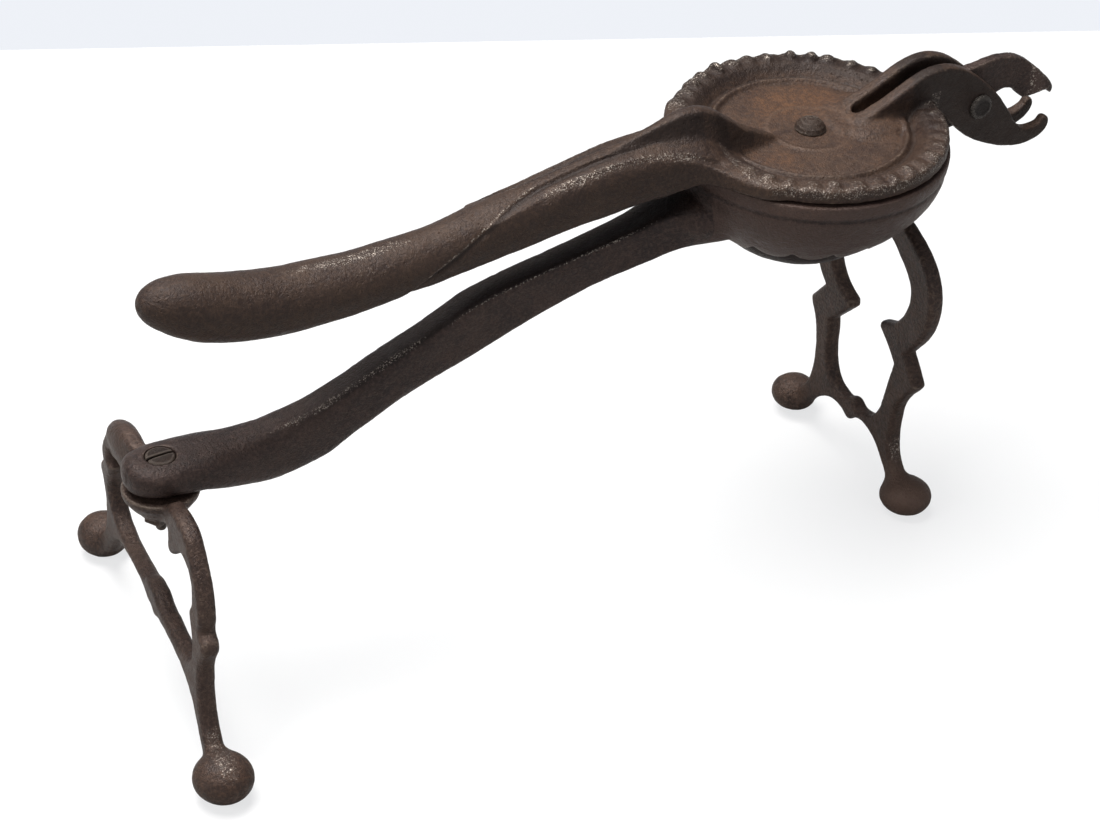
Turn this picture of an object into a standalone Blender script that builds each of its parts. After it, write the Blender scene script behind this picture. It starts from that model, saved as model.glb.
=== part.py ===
"""Cast-iron table nutcracker: two long cast levers on one rivet, a disc that
presses nuts into a round bowl, plier jaws beyond the rivet, and two trestle
castings that stand it on four ball feet.

Lengths are millimetres in a design frame: Z is the axis of the disc and bowl,
with Z = 0 on the table, and +X points to the jaws, which are the front.
world() turns them into metres about the middle of the overall length.
"""

import math

import bmesh
import bpy
from mathutils import Matrix, Vector

# ---------------------------------------------------------------- dimensions
DISC_X = 73.7           # world X of the disc and bowl axis
GAP = 0.3               # clearance between neighbouring pieces

DISC_R = 45.0
RIM_TOP = 147.0
RIM_BOTTOM = 142.0
FLOOR_TOP = 143.5       # recessed middle of the disc
FLOOR_BOTTOM = 140.5
PRESSER_TOP = FLOOR_BOTTOM - GAP

BOWL_R = 45.6           # lip of the bowl
BOWL_TOP = 141.2
BOWL_BOTTOM = 101.0
BODY_R = 46.0           # superellipse of the bowl's outside
BODY_TOP = 141.0
CAVITY_R = 41.0
CAVITY_BOTTOM = 107.0

PIN_X, PIN_Z = 63.7, 141.5
PIN_R = 2.5
CHEEK_IN, CHEEK_OUT = 2.4, 7.0      # distances of the cheek faces from the middle
LUG_T = 4.0             # thickness of the lug and the upper jaw

FRONT_X = 35.0          # plane of the front trestle
FRONT_FOOT_Y = 34.8
REAR_X = -231.7         # screw of the rear trestle
REAR_FOOT_Y = 64.2      # measured in the turned plane of the rear trestle
REAR_TURN = math.radians(-5.4)
LEG_T = 5.4             # thickness of the trestle castings
FOOT_R, FOOT_Z, FOOT_H = 9.2, 7.8, 8.2      # radius, centre height, half height
CROWN_TOP = 108.5       # top of the front trestle
CROWN_BOTTOM = 99.0
PAD_BOTTOM = CROWN_TOP + GAP
CUP_TOP, CUP_R = 71.8, 12.3
CUP_BOTTOM = 62.4

SCREW_R = 2.3
BORE = SCREW_R + GAP
REAR_HEAD_R = 4.6
REAR_SINK_Z = 81.6      # floor of the recess for the rear screw's head
SLOT_HALF_LENGTH = 7.0

SHARP_ANGLE = math.radians(35)
WELD = 0.000005         # metres

for old in list(bpy.data.objects):
    bpy.data.objects.remove(old, do_unlink=True)

parts = bpy.data.collections.new("nutcracker")
cutters = bpy.data.collections.new("cutters")
for collection in (parts, cutters):
    bpy.context.scene.collection.children.link(collection)


# -------------------------------------------------------------------- places
def world(x, y, z):
    """World point in metres of a design point in millimetres."""
    return Vector(((x + DISC_X) / 1000, y / 1000, z / 1000))


def stand(x, y=0.0, turn=0.0):
    """Frame on the table at x, y, turned about the vertical."""
    return Matrix.Translation(world(x, y, 0)) @ Matrix.Rotation(turn, 4, "Z")


# Flat outlines stood upright: thickness along Y, and thickness along X.
LENGTHWISE = Matrix(((1, 0, 0, 0), (0, 0, -1, 0), (0, 1, 0, 0), (0, 0, 0, 1)))
CROSSWISE = Matrix(((0, 0, 1, 0), (1, 0, 0, 0), (0, 1, 0, 0), (0, 0, 0, 1)))

AXIS = stand(0)
FRONT = stand(FRONT_X)
REAR = stand(REAR_X)
REAR_TURNED = stand(REAR_X, turn=REAR_TURN)
PIN = world(PIN_X, 0, PIN_Z)
PIN_AXIS = Matrix.Translation(PIN) @ Matrix.Rotation(math.radians(90), 4, "X")


# ----------------------------------------------------------------- materials
def material(name, colour, roughness, metallic):
    mat = bpy.data.materials.new(name)
    mat.use_nodes = True
    shader = mat.node_tree.nodes["Principled BSDF"]
    shader.inputs["Base Color"].default_value = (*colour, 1)
    shader.inputs["Roughness"].default_value = roughness
    shader.inputs["Metallic"].default_value = metallic
    mat.diffuse_color = (*colour, 1)
    return mat


CAST = material("cast_iron_brown", colour=(0.060, 0.038, 0.034), roughness=0.55, metallic=0.55)
CAST_DISC = material("cast_iron_rusty", colour=(0.105, 0.056, 0.036), roughness=0.66, metallic=0.40)
CAST_REAR = material("cast_iron_worn", colour=(0.085, 0.058, 0.045), roughness=0.58, metallic=0.50)
STEEL = material("old_steel", colour=(0.100, 0.078, 0.066), roughness=0.42, metallic=0.80)
STEEL_RUST = material("rusty_steel", colour=(0.085, 0.044, 0.030), roughness=0.60, metallic=0.55)


# ------------------------------------------------------------- solid helpers
def add_object(data):
    obj = bpy.data.objects.new("piece", data)
    cutters.objects.link(obj)
    return obj


def mesh_object(bm):
    bmesh.ops.recalc_face_normals(bm, faces=bm.faces)
    data = bpy.data.meshes.new("piece")
    bm.to_mesh(data)
    bm.free()
    return add_object(data)


def freeze(obj):
    """Replaces an object by its evaluated mesh, welded, in world space."""
    bpy.context.view_layer.update()
    graph = bpy.context.evaluated_depsgraph_get()
    data = bpy.data.meshes.new_from_object(obj.evaluated_get(graph))
    data.transform(obj.matrix_world)
    bpy.data.objects.remove(obj, do_unlink=True)
    bm = bmesh.new()
    bm.from_mesh(data)
    bmesh.ops.remove_doubles(bm, verts=bm.verts, dist=WELD)
    bmesh.ops.recalc_face_normals(bm, faces=bm.faces)
    bm.to_mesh(data)
    bm.free()
    return add_object(data)


def turned(profile, place, steps):
    """Revolves (radius, height) pairs about place's Z axis."""
    data = bpy.data.meshes.new("piece")
    points = [(radius / 1000, 0, height / 1000) for radius, height in profile]
    data.from_pydata(points, [(i, i + 1) for i in range(len(points) - 1)], [])
    obj = add_object(data)
    screw = obj.modifiers.new("Screw", "SCREW")
    screw.steps = screw.render_steps = steps
    screw.use_merge_vertices = True
    screw.merge_threshold = 0.00001
    screw.use_smooth_shade = True
    obj.matrix_world = place
    return freeze(obj)


def plate(outlines, thickness, place, round_edge):
    """A flat casting: closed outlines, filled, extruded and edge-rounded."""
    curve = bpy.data.curves.new("piece", "CURVE")
    curve.dimensions = "2D"
    curve.fill_mode = "BOTH"
    curve.extrude = (thickness / 2 - round_edge) / 1000
    curve.bevel_depth = round_edge / 1000
    curve.bevel_resolution = 0
    curve.offset = -round_edge / 1000
    for outline in outlines:
        spline = curve.splines.new("POLY")
        spline.points.add(len(outline) - 1)
        for point, (across, up) in zip(spline.points, outline):
            point.co = (across / 1000, up / 1000, 0, 1)
        spline.use_cyclic_u = True
    obj = add_object(curve)
    obj.matrix_world = place
    return freeze(obj)


def loft(stations, around=16):
    """A bar through superellipse sections (x, z, half_y, half_z, power),
    each tilted square to the bar except the two end ones."""
    bm = bmesh.new()
    rings = []
    last = len(stations) - 1
    for i, (x, z, half_y, half_z, power) in enumerate(stations):
        slope = 0.0
        if 0 < i < last:
            before, after = stations[i - 1], stations[i + 1]
            slope = math.atan2(after[1] - before[1], after[0] - before[0])
        ring = []
        for k in range(around):
            angle = 2 * math.pi * k / around
            cosine, sine = math.cos(angle), math.sin(angle)
            y = half_y * math.copysign(abs(cosine) ** (2 / power), cosine)
            rise = half_z * math.copysign(abs(sine) ** (2 / power), sine)
            ring.append(bm.verts.new(
                world(x - rise * math.sin(slope), y, z + rise * math.cos(slope))))
        rings.append(ring)
    for first, second in zip(rings, rings[1:]):
        for k in range(around):
            n = (k + 1) % around
            bm.faces.new((first[k], first[n], second[n], second[k]))
    bm.faces.new(rings[0][::-1])
    bm.faces.new(rings[-1])
    bmesh.ops.triangulate(bm, faces=bm.faces)
    return mesh_object(bm)


def drum(radius, bottom, top, place, sides=20):
    """A plain cylinder on place's Z axis."""
    bm = bmesh.new()
    bmesh.ops.create_cone(bm, cap_ends=True, segments=sides, radius1=radius / 1000,
                          radius2=radius / 1000, depth=(top - bottom) / 1000)
    bmesh.ops.translate(bm, verts=bm.verts, vec=(0, 0, (top + bottom) / 2000))
    bmesh.ops.transform(bm, matrix=place, verts=bm.verts)
    return mesh_object(bm)


def box(low, high, place):
    """A block between two opposite corners given in place's frame."""
    bm = bmesh.new()
    bmesh.ops.create_cube(bm, size=1.0)
    for vert in bm.verts:
        vert.co = Vector([(start + end) / 2000 + unit * (end - start) / 1000
                          for start, end, unit in zip(low, high, vert.co)])
    bmesh.ops.transform(bm, matrix=place, verts=bm.verts)
    return mesh_object(bm)


def combine(target, operation, others):
    """Exact Booleans, one after another, then the helpers are dropped."""
    for other in others:
        mod = target.modifiers.new(operation.title(), "BOOLEAN")
        mod.operation = operation
        mod.solver = "EXACT"
        mod.object = other
        target = freeze(target)
        bpy.data.objects.remove(other, do_unlink=True)
    return target


def finish(obj, name, mat, origin):
    """Names a piece, gives it its finish and puts its origin in place."""
    obj.name = obj.data.name = name
    cutters.objects.unlink(obj)
    parts.objects.link(obj)
    obj.data.materials.clear()
    obj.data.materials.append(mat)
    obj.data.shade_smooth()
    obj.data.set_sharp_from_angle(angle=SHARP_ANGLE)
    obj.data.transform(Matrix.Translation(-origin))
    obj.location = origin


def superellipse(radius, top, bottom, power, steps, start=0.0, end=1.0):
    """(radius, height) pairs down a round bowl, from start to end of its depth."""
    pairs = []
    for i in range(steps + 1):
        t = start + (end - start) * i / steps
        pairs.append((radius * (1 - t ** power) ** (1 / power), top - (top - bottom) * t))
    return pairs


def rivet_hole():
    return drum(PIN_R + GAP, -12, 12, PIN_AXIS, sides=24)


def slot(half_width, bottom, top, x=0.0, turn=0.0):
    """Cutter for a screwdriver slot."""
    return box((-SLOT_HALF_LENGTH, -half_width, bottom), (SLOT_HALF_LENGTH, half_width, top),
               stand(x, turn=turn))


# ------------------------------------------------------------ the disc lever
# Stations of the lofts: x, z, half_y, half_z, power.
# Round grip at the free end, a broader neck at the disc.
DISC_HANDLE = [
    (-236.8, 137.9, 2.2, 2.2, 2.0), (-235.4, 137.8, 4.4, 4.3, 2.0),
    (-231.5, 137.1, 7.2, 7.0, 2.0), (-225.5, 135.4, 9.3, 9.1, 2.0),
    (-217.0, 132.9, 10.4, 10.3, 2.0), (-204.0, 130.0, 10.7, 10.5, 2.0),
    (-187.0, 128.3, 10.6, 10.1, 2.0), (-170.0, 128.4, 10.0, 9.6, 2.0),
    (-153.0, 130.0, 9.4, 8.9, 2.0), (-138.0, 132.0, 9.0, 8.5, 2.1),
    (-122.0, 135.2, 9.0, 8.5, 2.2), (-108.0, 138.0, 9.2, 8.7, 2.3),
    (-94.0, 141.0, 9.4, 9.1, 2.4), (-80.0, 143.4, 9.7, 9.5, 2.6),
    (-68.0, 144.8, 10.2, 9.4, 2.6), (-57.0, 145.8, 11.4, 8.8, 2.4),
    (-50.4, 146.2, 13.4, 7.0, 2.2), (-46.6, 145.6, 16.0, 4.4, 2.2),
    (-42.0, 145.0, 19.0, 2.6, 2.4), (-34.0, 144.3, 21.0, 1.8, 2.2)]
# Ridge that climbs over the rim and dies out on the disc.
SPINE = [
    (-84.0, 150.0, 1.6, 2.0, 2.0), (-74.0, 150.5, 3.2, 5.0, 1.7),
    (-64.0, 151.0, 4.6, 6.6, 1.6), (-56.0, 152.0, 5.4, 8.6, 1.5),
    (-49.0, 152.4, 5.8, 9.8, 1.5), (-42.5, 151.8, 6.0, 9.2, 1.5),
    (-36.5, 150.2, 6.4, 7.8, 1.5), (-29.0, 147.4, 6.6, 4.9, 1.6),
    (-22.0, 145.4, 5.0, 3.2, 1.7), (-14.0, 143.4, 2.0, 1.6, 2.0)]
# Low web where both cheeks run together on the disc.
CROTCH = [
    (6.0, 143.2, 3.0, 1.0, 2.0), (11.0, 143.9, 6.0, 2.4, 2.2),
    (16.0, 144.8, 8.2, 3.4, 2.4), (22.0, 144.6, 8.6, 2.8, 2.4),
    (34.0, 144.2, 8.6, 2.2, 2.4), (42.0, 144.2, 8.4, 1.6, 2.2)]
# (radius, height) from the middle of the top, over the rim, to the underside.
DISC_PROFILE = [
    (0, FLOOR_TOP), (12.6, FLOOR_TOP), (13.4, FLOOR_TOP + 0.5), (14.4, FLOOR_TOP + 0.5),
    (15.2, FLOOR_TOP), (30.6, FLOOR_TOP), (31.4, FLOOR_TOP + 1.0), (33.2, FLOOR_TOP + 1.1),
    (34.2, RIM_TOP - 1.2), (37.0, RIM_TOP - 0.2), (42.0, RIM_TOP), (44.2, RIM_TOP - 0.9),
    (DISC_R, RIM_TOP - 2.4), (DISC_R, RIM_BOTTOM + 0.8), (DISC_R - 0.8, RIM_BOTTOM),
    (39.2, RIM_BOTTOM), (37.8, FLOOR_BOTTOM), (0, FLOOR_BOTTOM)]
# Cheek that rises off the disc, holds the rivet and ends as half of the forked
# lower jaw.  (x, z) along the top from the disc to the tip and back below.
CHEEK = [
    (13, 142.6), (14.5, 144.5), (19, 148.2), (26, 151.0), (32, 153.6), (38, 156.2),
    (44, 158.0), (50, 158.2), (55, 156.8), (60, 154.0), (66, 149.3), (71, 144.5),
    (75.5, 139.5), (79, 135.2), (81.5, 131.6), (84, 129.2), (87, 128.0), (90, 128.2),
    (92.3, 129.6), (94.0, 131.6), (95.6, 131.4), (96.3, 129.6), (95.4, 126.8),
    (93, 124.6), (90, 123.2), (86, 122.5), (82, 122.6), (76, 123.8), (70, 125.8),
    (64.4, 128.3), (59.7, 131.2), (56, 134.4), (52.4, 137.9), (47.6, 142.0), (44, 142.6)]


def cheek(side):
    middle = side * (CHEEK_IN + CHEEK_OUT) / 2
    return plate([CHEEK], CHEEK_OUT - CHEEK_IN, stand(0, middle) @ LENGTHWISE, round_edge=0.8)


def build_disc_lever():
    lever = combine(turned(DISC_PROFILE, AXIS, steps=52), "UNION", [
        loft(DISC_HANDLE), loft(SPINE, around=12), loft(CROTCH, around=12),
        cheek(-1), cheek(1)])
    lever = combine(lever, "DIFFERENCE", [rivet_hole(), drum(BORE, 130, 160, AXIS)])
    finish(lever, "disc_lever", CAST_DISC, PIN)


# ------------------------------------------------------------ the bowl lever
# Round pad at the free end, then a bar that becomes flat-sided and runs to the
# bowl.  Stations: x, z, half_y, half_z, power.
BOWL_HANDLE = [
    (-244.2, 78.2, 3.0, 3.2, 2.2), (-243.0, 78.2, 5.6, 4.6, 2.4),
    (-240.0, 78.1, 8.4, 5.6, 2.6), (-236.0, 78.1, 10.6, 6.0, 2.8),
    (-231.7, 78.1, 11.4, 6.0, 3.0), (-225.0, 78.2, 11.2, 6.0, 3.0),
    (-218.6, 77.9, 10.4, 5.8, 3.0), (-207.0, 75.9, 8.9, 7.1, 3.2),
    (-197.0, 75.4, 7.9, 8.4, 3.4), (-188.0, 76.4, 7.1, 9.1, 3.6),
    (-178.0, 78.7, 6.5, 9.1, 3.8), (-166.0, 84.3, 6.1, 8.2, 3.9),
    (-152.0, 91.2, 5.8, 8.2, 4.0), (-138.0, 97.1, 5.5, 8.4, 4.2),
    (-124.0, 103.0, 5.4, 8.7, 4.6), (-110.0, 107.6, 5.4, 8.1, 4.6),
    (-96.0, 111.4, 5.4, 7.3, 4.6), (-81.0, 115.2, 5.6, 6.7, 4.6),
    (-66.0, 118.6, 6.4, 6.7, 4.2), (-54.0, 121.6, 8.1, 7.2, 3.6),
    (-44.0, 121.8, 11.5, 8.6, 3.0), (-34.0, 121.8, 15.0, 9.4, 2.6)]
# Lug from the bowl to the rivet and on into the single upper jaw.
# (x, z) along the underside to the tip and back over the top.
LUG = [
    (38.0, 121.0), (42.0, 121.5), (47.0, 125.0), (52.0, 129.2), (57.0, 131.8), (61.0, 132.0),
    (66.0, 133.2), (70.0, 136.4), (74.0, 140.6), (77.6, 142.0), (80.0, 141.8), (82.6, 140.5),
    (85.0, 138.2), (86.8, 137.0), (89.6, 137.2), (92.9, 137.9), (95.6, 138.2), (97.6, 137.2),
    (98.8, 137.0), (99.4, 138.4), (97.6, 141.4), (93.6, 145.4), (89.4, 148.9), (85.6, 151.6),
    (81.8, 153.4), (77.0, 154.4), (70.6, 154.4), (65.4, 153.6), (60.8, 152.8), (56.4, 150.6),
    (52.4, 147.2), (49.2, 143.2), (47.2, 140.6), (43.0, 139.4), (40.0, 130.0)]
# Flat-bottomed boss under the lug that sits on the front trestle.
PAD_PROFILE = [
    (0, 124.0), (9.4, 124.0), (8.8, 116.0), (7.9, 110.4), (7.4, PAD_BOTTOM), (0, PAD_BOTTOM)]
BOWL_PROFILE = [
    (0, BOWL_TOP), (BOWL_R - 0.6, BOWL_TOP), (BOWL_R, BOWL_TOP - 0.6),
    (BOWL_R, BOWL_TOP - 4.8), (BOWL_R - 0.5, BOWL_TOP - 5.4),
    *superellipse(BODY_R, BODY_TOP, BOWL_BOTTOM, power=1.9, steps=12, start=0.16, end=0.985),
    (0, BOWL_BOTTOM + 0.2)]
CAVITY_PROFILE = [
    (0, BOWL_TOP + 4), (CAVITY_R, BOWL_TOP + 4),
    *superellipse(CAVITY_R, BOWL_TOP, CAVITY_BOTTOM, power=2.0, steps=10, end=0.98),
    (0, CAVITY_BOTTOM)]


def build_bowl_lever():
    lever = combine(turned(BOWL_PROFILE, AXIS, steps=52), "UNION", [
        loft(BOWL_HANDLE), turned(PAD_PROFILE, FRONT, steps=24)])
    # The lug joins after the cavity is cut, so that the cut leaves it whole.
    lever = combine(lever, "DIFFERENCE", [turned(CAVITY_PROFILE, AXIS, steps=44)])
    lever = combine(lever, "UNION", [plate([LUG], LUG_T, AXIS @ LENGTHWISE, round_edge=0.5)])
    lever = combine(lever, "DIFFERENCE", [
        rivet_hole(),
        drum(BORE, 100, 116, FRONT),
        drum(BORE, 60, 95, REAR),
        drum(REAR_HEAD_R + GAP, REAR_SINK_Z, 95, REAR, sides=24)])
    finish(lever, "bowl_lever", CAST, world(0, 0, 0))


# ------------------------------------------------------------------ the rivet
HEAD_SEAT = CHEEK_OUT + GAP
# (radius, distance from the middle), from one head's crown to the shank.
RIVET_HALF = [
    (0, HEAD_SEAT + 1.9), (1.8, HEAD_SEAT + 1.75), (3.4, HEAD_SEAT + 1.2),
    (4.5, HEAD_SEAT + 0.4), (4.7, HEAD_SEAT), (PIN_R, HEAD_SEAT)]


def build_rivet():
    profile = RIVET_HALF + [(radius, -along) for radius, along in reversed(RIVET_HALF)]
    finish(turned(profile, PIN_AXIS, steps=24), "hinge_pin", STEEL, PIN)


# ------------------------------------------------- presser under the disc
# (radius, depth below the presser's top), ringed with grooves underneath.
PRESSER = [
    (0, 0), (25.0, 0), (26.0, 1.0), (26.0, 4.0), (24.0, 7.5), (20.5, 9.6), (19.6, 8.6),
    (18.4, 10.4), (15.6, 11.4), (14.6, 10.4), (13.4, 12.0), (10.4, 12.6), (9.4, 11.6),
    (8.2, 13.0), (0, 13.4)]
PRESSER_SCREW = [
    (0, FLOOR_TOP + 3.4), (1.6, FLOOR_TOP + 3.3), (3.2, FLOOR_TOP + 2.7),
    (4.5, FLOOR_TOP + 1.7), (5.2, FLOOR_TOP + GAP), (SCREW_R, FLOOR_TOP + GAP),
    (SCREW_R, PRESSER_TOP - 8.6), (0, PRESSER_TOP - 9.0)]


def build_presser():
    profile = [(radius, PRESSER_TOP - depth) for radius, depth in PRESSER]
    hole = drum(BORE, PRESSER_TOP - 9.5, PRESSER_TOP + 5, AXIS, sides=24)
    presser = combine(turned(profile, AXIS, steps=36), "DIFFERENCE", [hole])
    finish(presser, "presser", CAST, PIN)


def build_presser_screw():
    screw = combine(turned(PRESSER_SCREW, AXIS, steps=24), "DIFFERENCE", [
        slot(0.55, FLOOR_TOP + 2.2, FLOOR_TOP + 6, turn=math.radians(-40))])
    finish(screw, "presser_screw", STEEL_RUST, PIN)


# -------------------------------------------------------------- the trestles
# Half outlines of each frame and its opening: (distance across, height), from
# the middle of the top to the middle of the bottom.
FRONT_OUTER = [
    (0, CROWN_TOP), (6.6, CROWN_TOP), (10.6, CROWN_TOP - 0.3), (14.8, 106.8), (20.9, 103.2),
    (27.2, 98.0), (31.8, 91.8), (34.1, 84.5), (33.6, 76.5), (31.0, 69.5), (27.6, 64.4),
    (24.0, 61.0), (27.4, 56.6), (30.6, 52.8), (30.4, 50.6), (27.4, 46.0), (25.2, 39.0),
    (24.3, 31.4), (24.7, 24.0), (26.6, 18.0), (30.0, 13.6), (34.0, 9.0), (30.0, 4.6),
    (26.6, 7.4), (22.4, 12.4), (18.6, 16.4), (13.6, 20.0), (8.4, 21.4), (4.4, 20.8),
    (1.6, 19.2), (0, 19.0)]
FRONT_OPENING = [
    (0, 99.3), (5.6, 99.2), (9.1, 98.0), (16.0, 95.6), (21.2, 91.8), (24.2, 86.6), (24.3, 81.6),
    (22.3, 76.2), (19.4, 72.0), (15.6, 68.2), (11.2, 65.2), (11.2, 62.6), (15.4, 57.2),
    (19.8, 51.6), (18.0, 46.2), (16.8, 39.3), (16.0, 34.2), (14.4, 30.4), (11.6, 26.8),
    (8.0, 25.2), (3.8, 24.8), (1.6, 26.0), (0, 26.4)]
REAR_OUTER = [
    (0, 68.0), (8.0, 69.4), (13.0, 74.0), (19.0, 76.6), (26.0, 77.2), (33.0, 75.6), (39.6, 71.6),
    (44.8, 65.8), (47.8, 59.6), (48.2, 54.4), (47.0, 51.0), (51.2, 49.4), (51.8, 46.4),
    (48.8, 42.6), (47.4, 37.6), (48.0, 31.0), (49.4, 24.6), (52.4, 18.2), (56.8, 13.4),
    (63.0, 9.0), (58.0, 5.0), (52.0, 8.4), (46.6, 15.0), (41.2, 21.4), (34.0, 25.6),
    (25.0, 27.2), (15.0, 27.6), (7.6, 27.0), (3.4, 25.4), (0, 25.2)]
REAR_OPENING = [
    (0, 63.0), (8.0, 63.6), (13.4, 66.6), (16.6, 63.8), (20.4, 62.4), (24.4, 64.6), (29.6, 67.0),
    (35.0, 66.6), (39.8, 63.4), (42.2, 58.8), (42.0, 55.0), (39.6, 52.6), (40.2, 49.8),
    (41.8, 45.0), (41.6, 39.4), (38.8, 34.4), (33.0, 31.6), (25.0, 30.8), (15.0, 31.4),
    (7.6, 32.0), (3.4, 33.6), (0, 33.8)]
# Round seats on top of the trestles: (radius, height).
CROWN_PROFILE = [
    (0, CROWN_TOP), (6.9, CROWN_TOP), (7.2, CROWN_TOP - 0.3), (7.0, CROWN_TOP - 3.0),
    (5.8, CROWN_TOP - 6.0), (5.4, CROWN_BOTTOM), (0, CROWN_BOTTOM)]
CUP_PROFILE = [
    (0, CUP_TOP), (CUP_R - 0.5, CUP_TOP), (CUP_R, CUP_TOP - 0.5), (CUP_R - 0.3, CUP_TOP - 2.4),
    (CUP_R - 2.4, CUP_TOP - 5.6), (CUP_R - 5.2, CUP_TOP - 8.2), (6.4, CUP_BOTTOM),
    (0, CUP_BOTTOM)]


def mirrored(half):
    """Closes a half outline with its mirror image."""
    return half + [(-across, z) for across, z in reversed(half) if across > 0]


def foot(centre):
    bm = bmesh.new()
    bmesh.ops.create_uvsphere(bm, u_segments=18, v_segments=10, radius=1.0)
    for vert in bm.verts:
        x, y, z = vert.co
        vert.co = centre + Vector((x * FOOT_R, y * FOOT_R, z * FOOT_H)) / 1000
    return mesh_object(bm)


def build_trestle(name, mat, outlines, foot_y, place, seat, hole):
    frame = plate([mirrored(half) for half in outlines], LEG_T, place @ CROSSWISE,
                  round_edge=1.1)
    feet = [foot(place @ Vector((0, side * foot_y / 1000, FOOT_Z / 1000))) for side in (-1, 1)]
    frame = combine(frame, "UNION", feet + [seat])
    # The block below the table cuts the feet flat.
    below_table = box((-400, -400, -30), (400, 400, 0), AXIS)
    frame = combine(frame, "DIFFERENCE", [hole, below_table])
    finish(frame, name, mat, place.to_translation())


def build_front_legs():
    build_trestle("front_legs", CAST, [FRONT_OUTER, FRONT_OPENING], FRONT_FOOT_Y, FRONT,
                  seat=turned(CROWN_PROFILE, FRONT, steps=24),
                  hole=drum(BORE, 90, 120, FRONT))


def build_rear_legs():
    build_trestle("rear_legs", CAST_REAR, [REAR_OUTER, REAR_OPENING], REAR_FOOT_Y, REAR_TURNED,
                  seat=turned(CUP_PROFILE, REAR, steps=32),
                  hole=drum(BORE, 50, 90, REAR_TURNED))


# ------------------------------------------------------------ trestle screws
FRONT_HEAD_SEAT = CROWN_BOTTOM - GAP
REAR_HEAD_SEAT = REAR_SINK_Z + GAP
# (radius, height); the front screw has its head below, the rear one on top.
FRONT_SCREW = [
    (0, 115.6), (SCREW_R, 115.4), (SCREW_R, FRONT_HEAD_SEAT), (4.6, FRONT_HEAD_SEAT),
    (4.8, 97.6), (4.2, 96.4), (2.6, 95.7), (0, 95.5)]
REAR_SCREW = [
    (0, 84.3), (2.6, 84.2), (4.4, 83.9), (REAR_HEAD_R, 83.4), (REAR_HEAD_R, 82.0),
    (SCREW_R, REAR_HEAD_SEAT), (SCREW_R, 56.4), (1.9, 55.8), (0, 55.8)]
NUT_HALF = 4.0
NUT_BOTTOM, NUT_TOP = 57.8, 62.0
NUT_TURN = math.radians(32)


def build_front_screw():
    screw = combine(turned(FRONT_SCREW, FRONT, steps=20), "DIFFERENCE", [
        slot(0.55, 90, 96.8, x=FRONT_X, turn=0.6)])
    finish(screw, "front_leg_screw", STEEL_RUST, world(FRONT_X, 0, 98))


def build_rear_screw():
    screw = combine(turned(REAR_SCREW, REAR, steps=24), "DIFFERENCE", [
        slot(0.5, 83.0, 86, x=REAR_X, turn=math.radians(4))])
    finish(screw, "rear_leg_screw", STEEL, world(REAR_X, 0, 83))


def build_rear_nut():
    nut = box((-NUT_HALF, -NUT_HALF, NUT_BOTTOM), (NUT_HALF, NUT_HALF, NUT_TOP),
              stand(REAR_X, turn=NUT_TURN))
    bevel = nut.modifiers.new("Bevel", "BEVEL")
    bevel.width = 0.0005
    bevel.segments = 2
    nut = combine(freeze(nut), "DIFFERENCE", [drum(BORE, 50, 70, REAR, sides=24)])
    finish(nut, "rear_leg_nut", STEEL_RUST, world(REAR_X, 0, 60))


build_disc_lever()
build_bowl_lever()
build_rivet()
build_presser()
build_presser_screw()
build_front_legs()
build_rear_legs()
build_front_screw()
build_rear_screw()
build_rear_nut()

cutters.hide_render = True
bpy.context.view_layer.update()
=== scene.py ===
"""A cast iron hand press: a disc lever hinged over a bowl lever on two trestles.

Every casting is first described as a field of distances on a regular grid, so
that its parts run together with real cast fillets.  A surface is then drawn
through the field and given its grain point by point.  Sizes are millimetres in
a design frame: Z is the axis of the disc and bowl, the floor is z = 0, +X runs
to the jaws, -X to the handles, and the near side, towards the camera, is -Y.
"""

import math
from functools import partial

import bpy
import numpy as np
from mathutils import Matrix, Vector


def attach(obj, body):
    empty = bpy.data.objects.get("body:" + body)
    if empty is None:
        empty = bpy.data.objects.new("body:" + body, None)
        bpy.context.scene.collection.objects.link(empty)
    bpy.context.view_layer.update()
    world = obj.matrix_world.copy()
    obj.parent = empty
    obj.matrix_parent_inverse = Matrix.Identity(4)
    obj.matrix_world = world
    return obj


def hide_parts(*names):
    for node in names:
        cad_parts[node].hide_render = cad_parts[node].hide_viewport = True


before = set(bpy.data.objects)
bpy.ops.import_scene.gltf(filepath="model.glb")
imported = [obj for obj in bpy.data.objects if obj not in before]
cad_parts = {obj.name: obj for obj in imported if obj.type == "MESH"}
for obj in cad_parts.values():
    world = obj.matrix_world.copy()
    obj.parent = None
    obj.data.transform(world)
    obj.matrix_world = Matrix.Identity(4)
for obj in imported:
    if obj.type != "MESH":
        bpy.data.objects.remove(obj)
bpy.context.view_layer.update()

DISC_X = 73.7            # the disc's axis in the product's own frame
HINGE = (63.7, 141.5)    # x and z of the hinge pin
FRONT_X = 35.0           # front trestle and its screw
REAR_X = -231.7          # rear trestle and its nut
REAR_SCREW_X = -230.5
DISC_Z = 143.5           # floor of the disc
LIP_Z = 141.0            # top of the bowl
PRESSER_TOP = 140.2
SLOT_HALF = 2.4          # half width of the slot between the cheeks

# grid steps for the levers, the middling parts and the small parts
COARSE = 0.5
MEDIUM = 0.38
FINE = 0.16

CURVE_STEPS = 4          # points drawn for each point of an outline
CORNERS = np.array([(i, j, k) for i in (0, 1) for j in (0, 1) for k in (0, 1)])
HASH_PRIMES = np.array([73856093, 19349663, 83492791])


# ------------------------------------------------------------ numeric helpers
def dist(*parts):
    """Length of the vector with these parts."""
    return np.sqrt(sum(part * part for part in parts))


def unit(value):
    return np.clip(value, 0, 1)


def bell(value, centre, width):
    return np.exp(-((value - centre) / width) ** 2)


def ramp(value, start, end):
    t = unit((value - start) / (end - start))
    return t * t * (3 - 2 * t)


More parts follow.
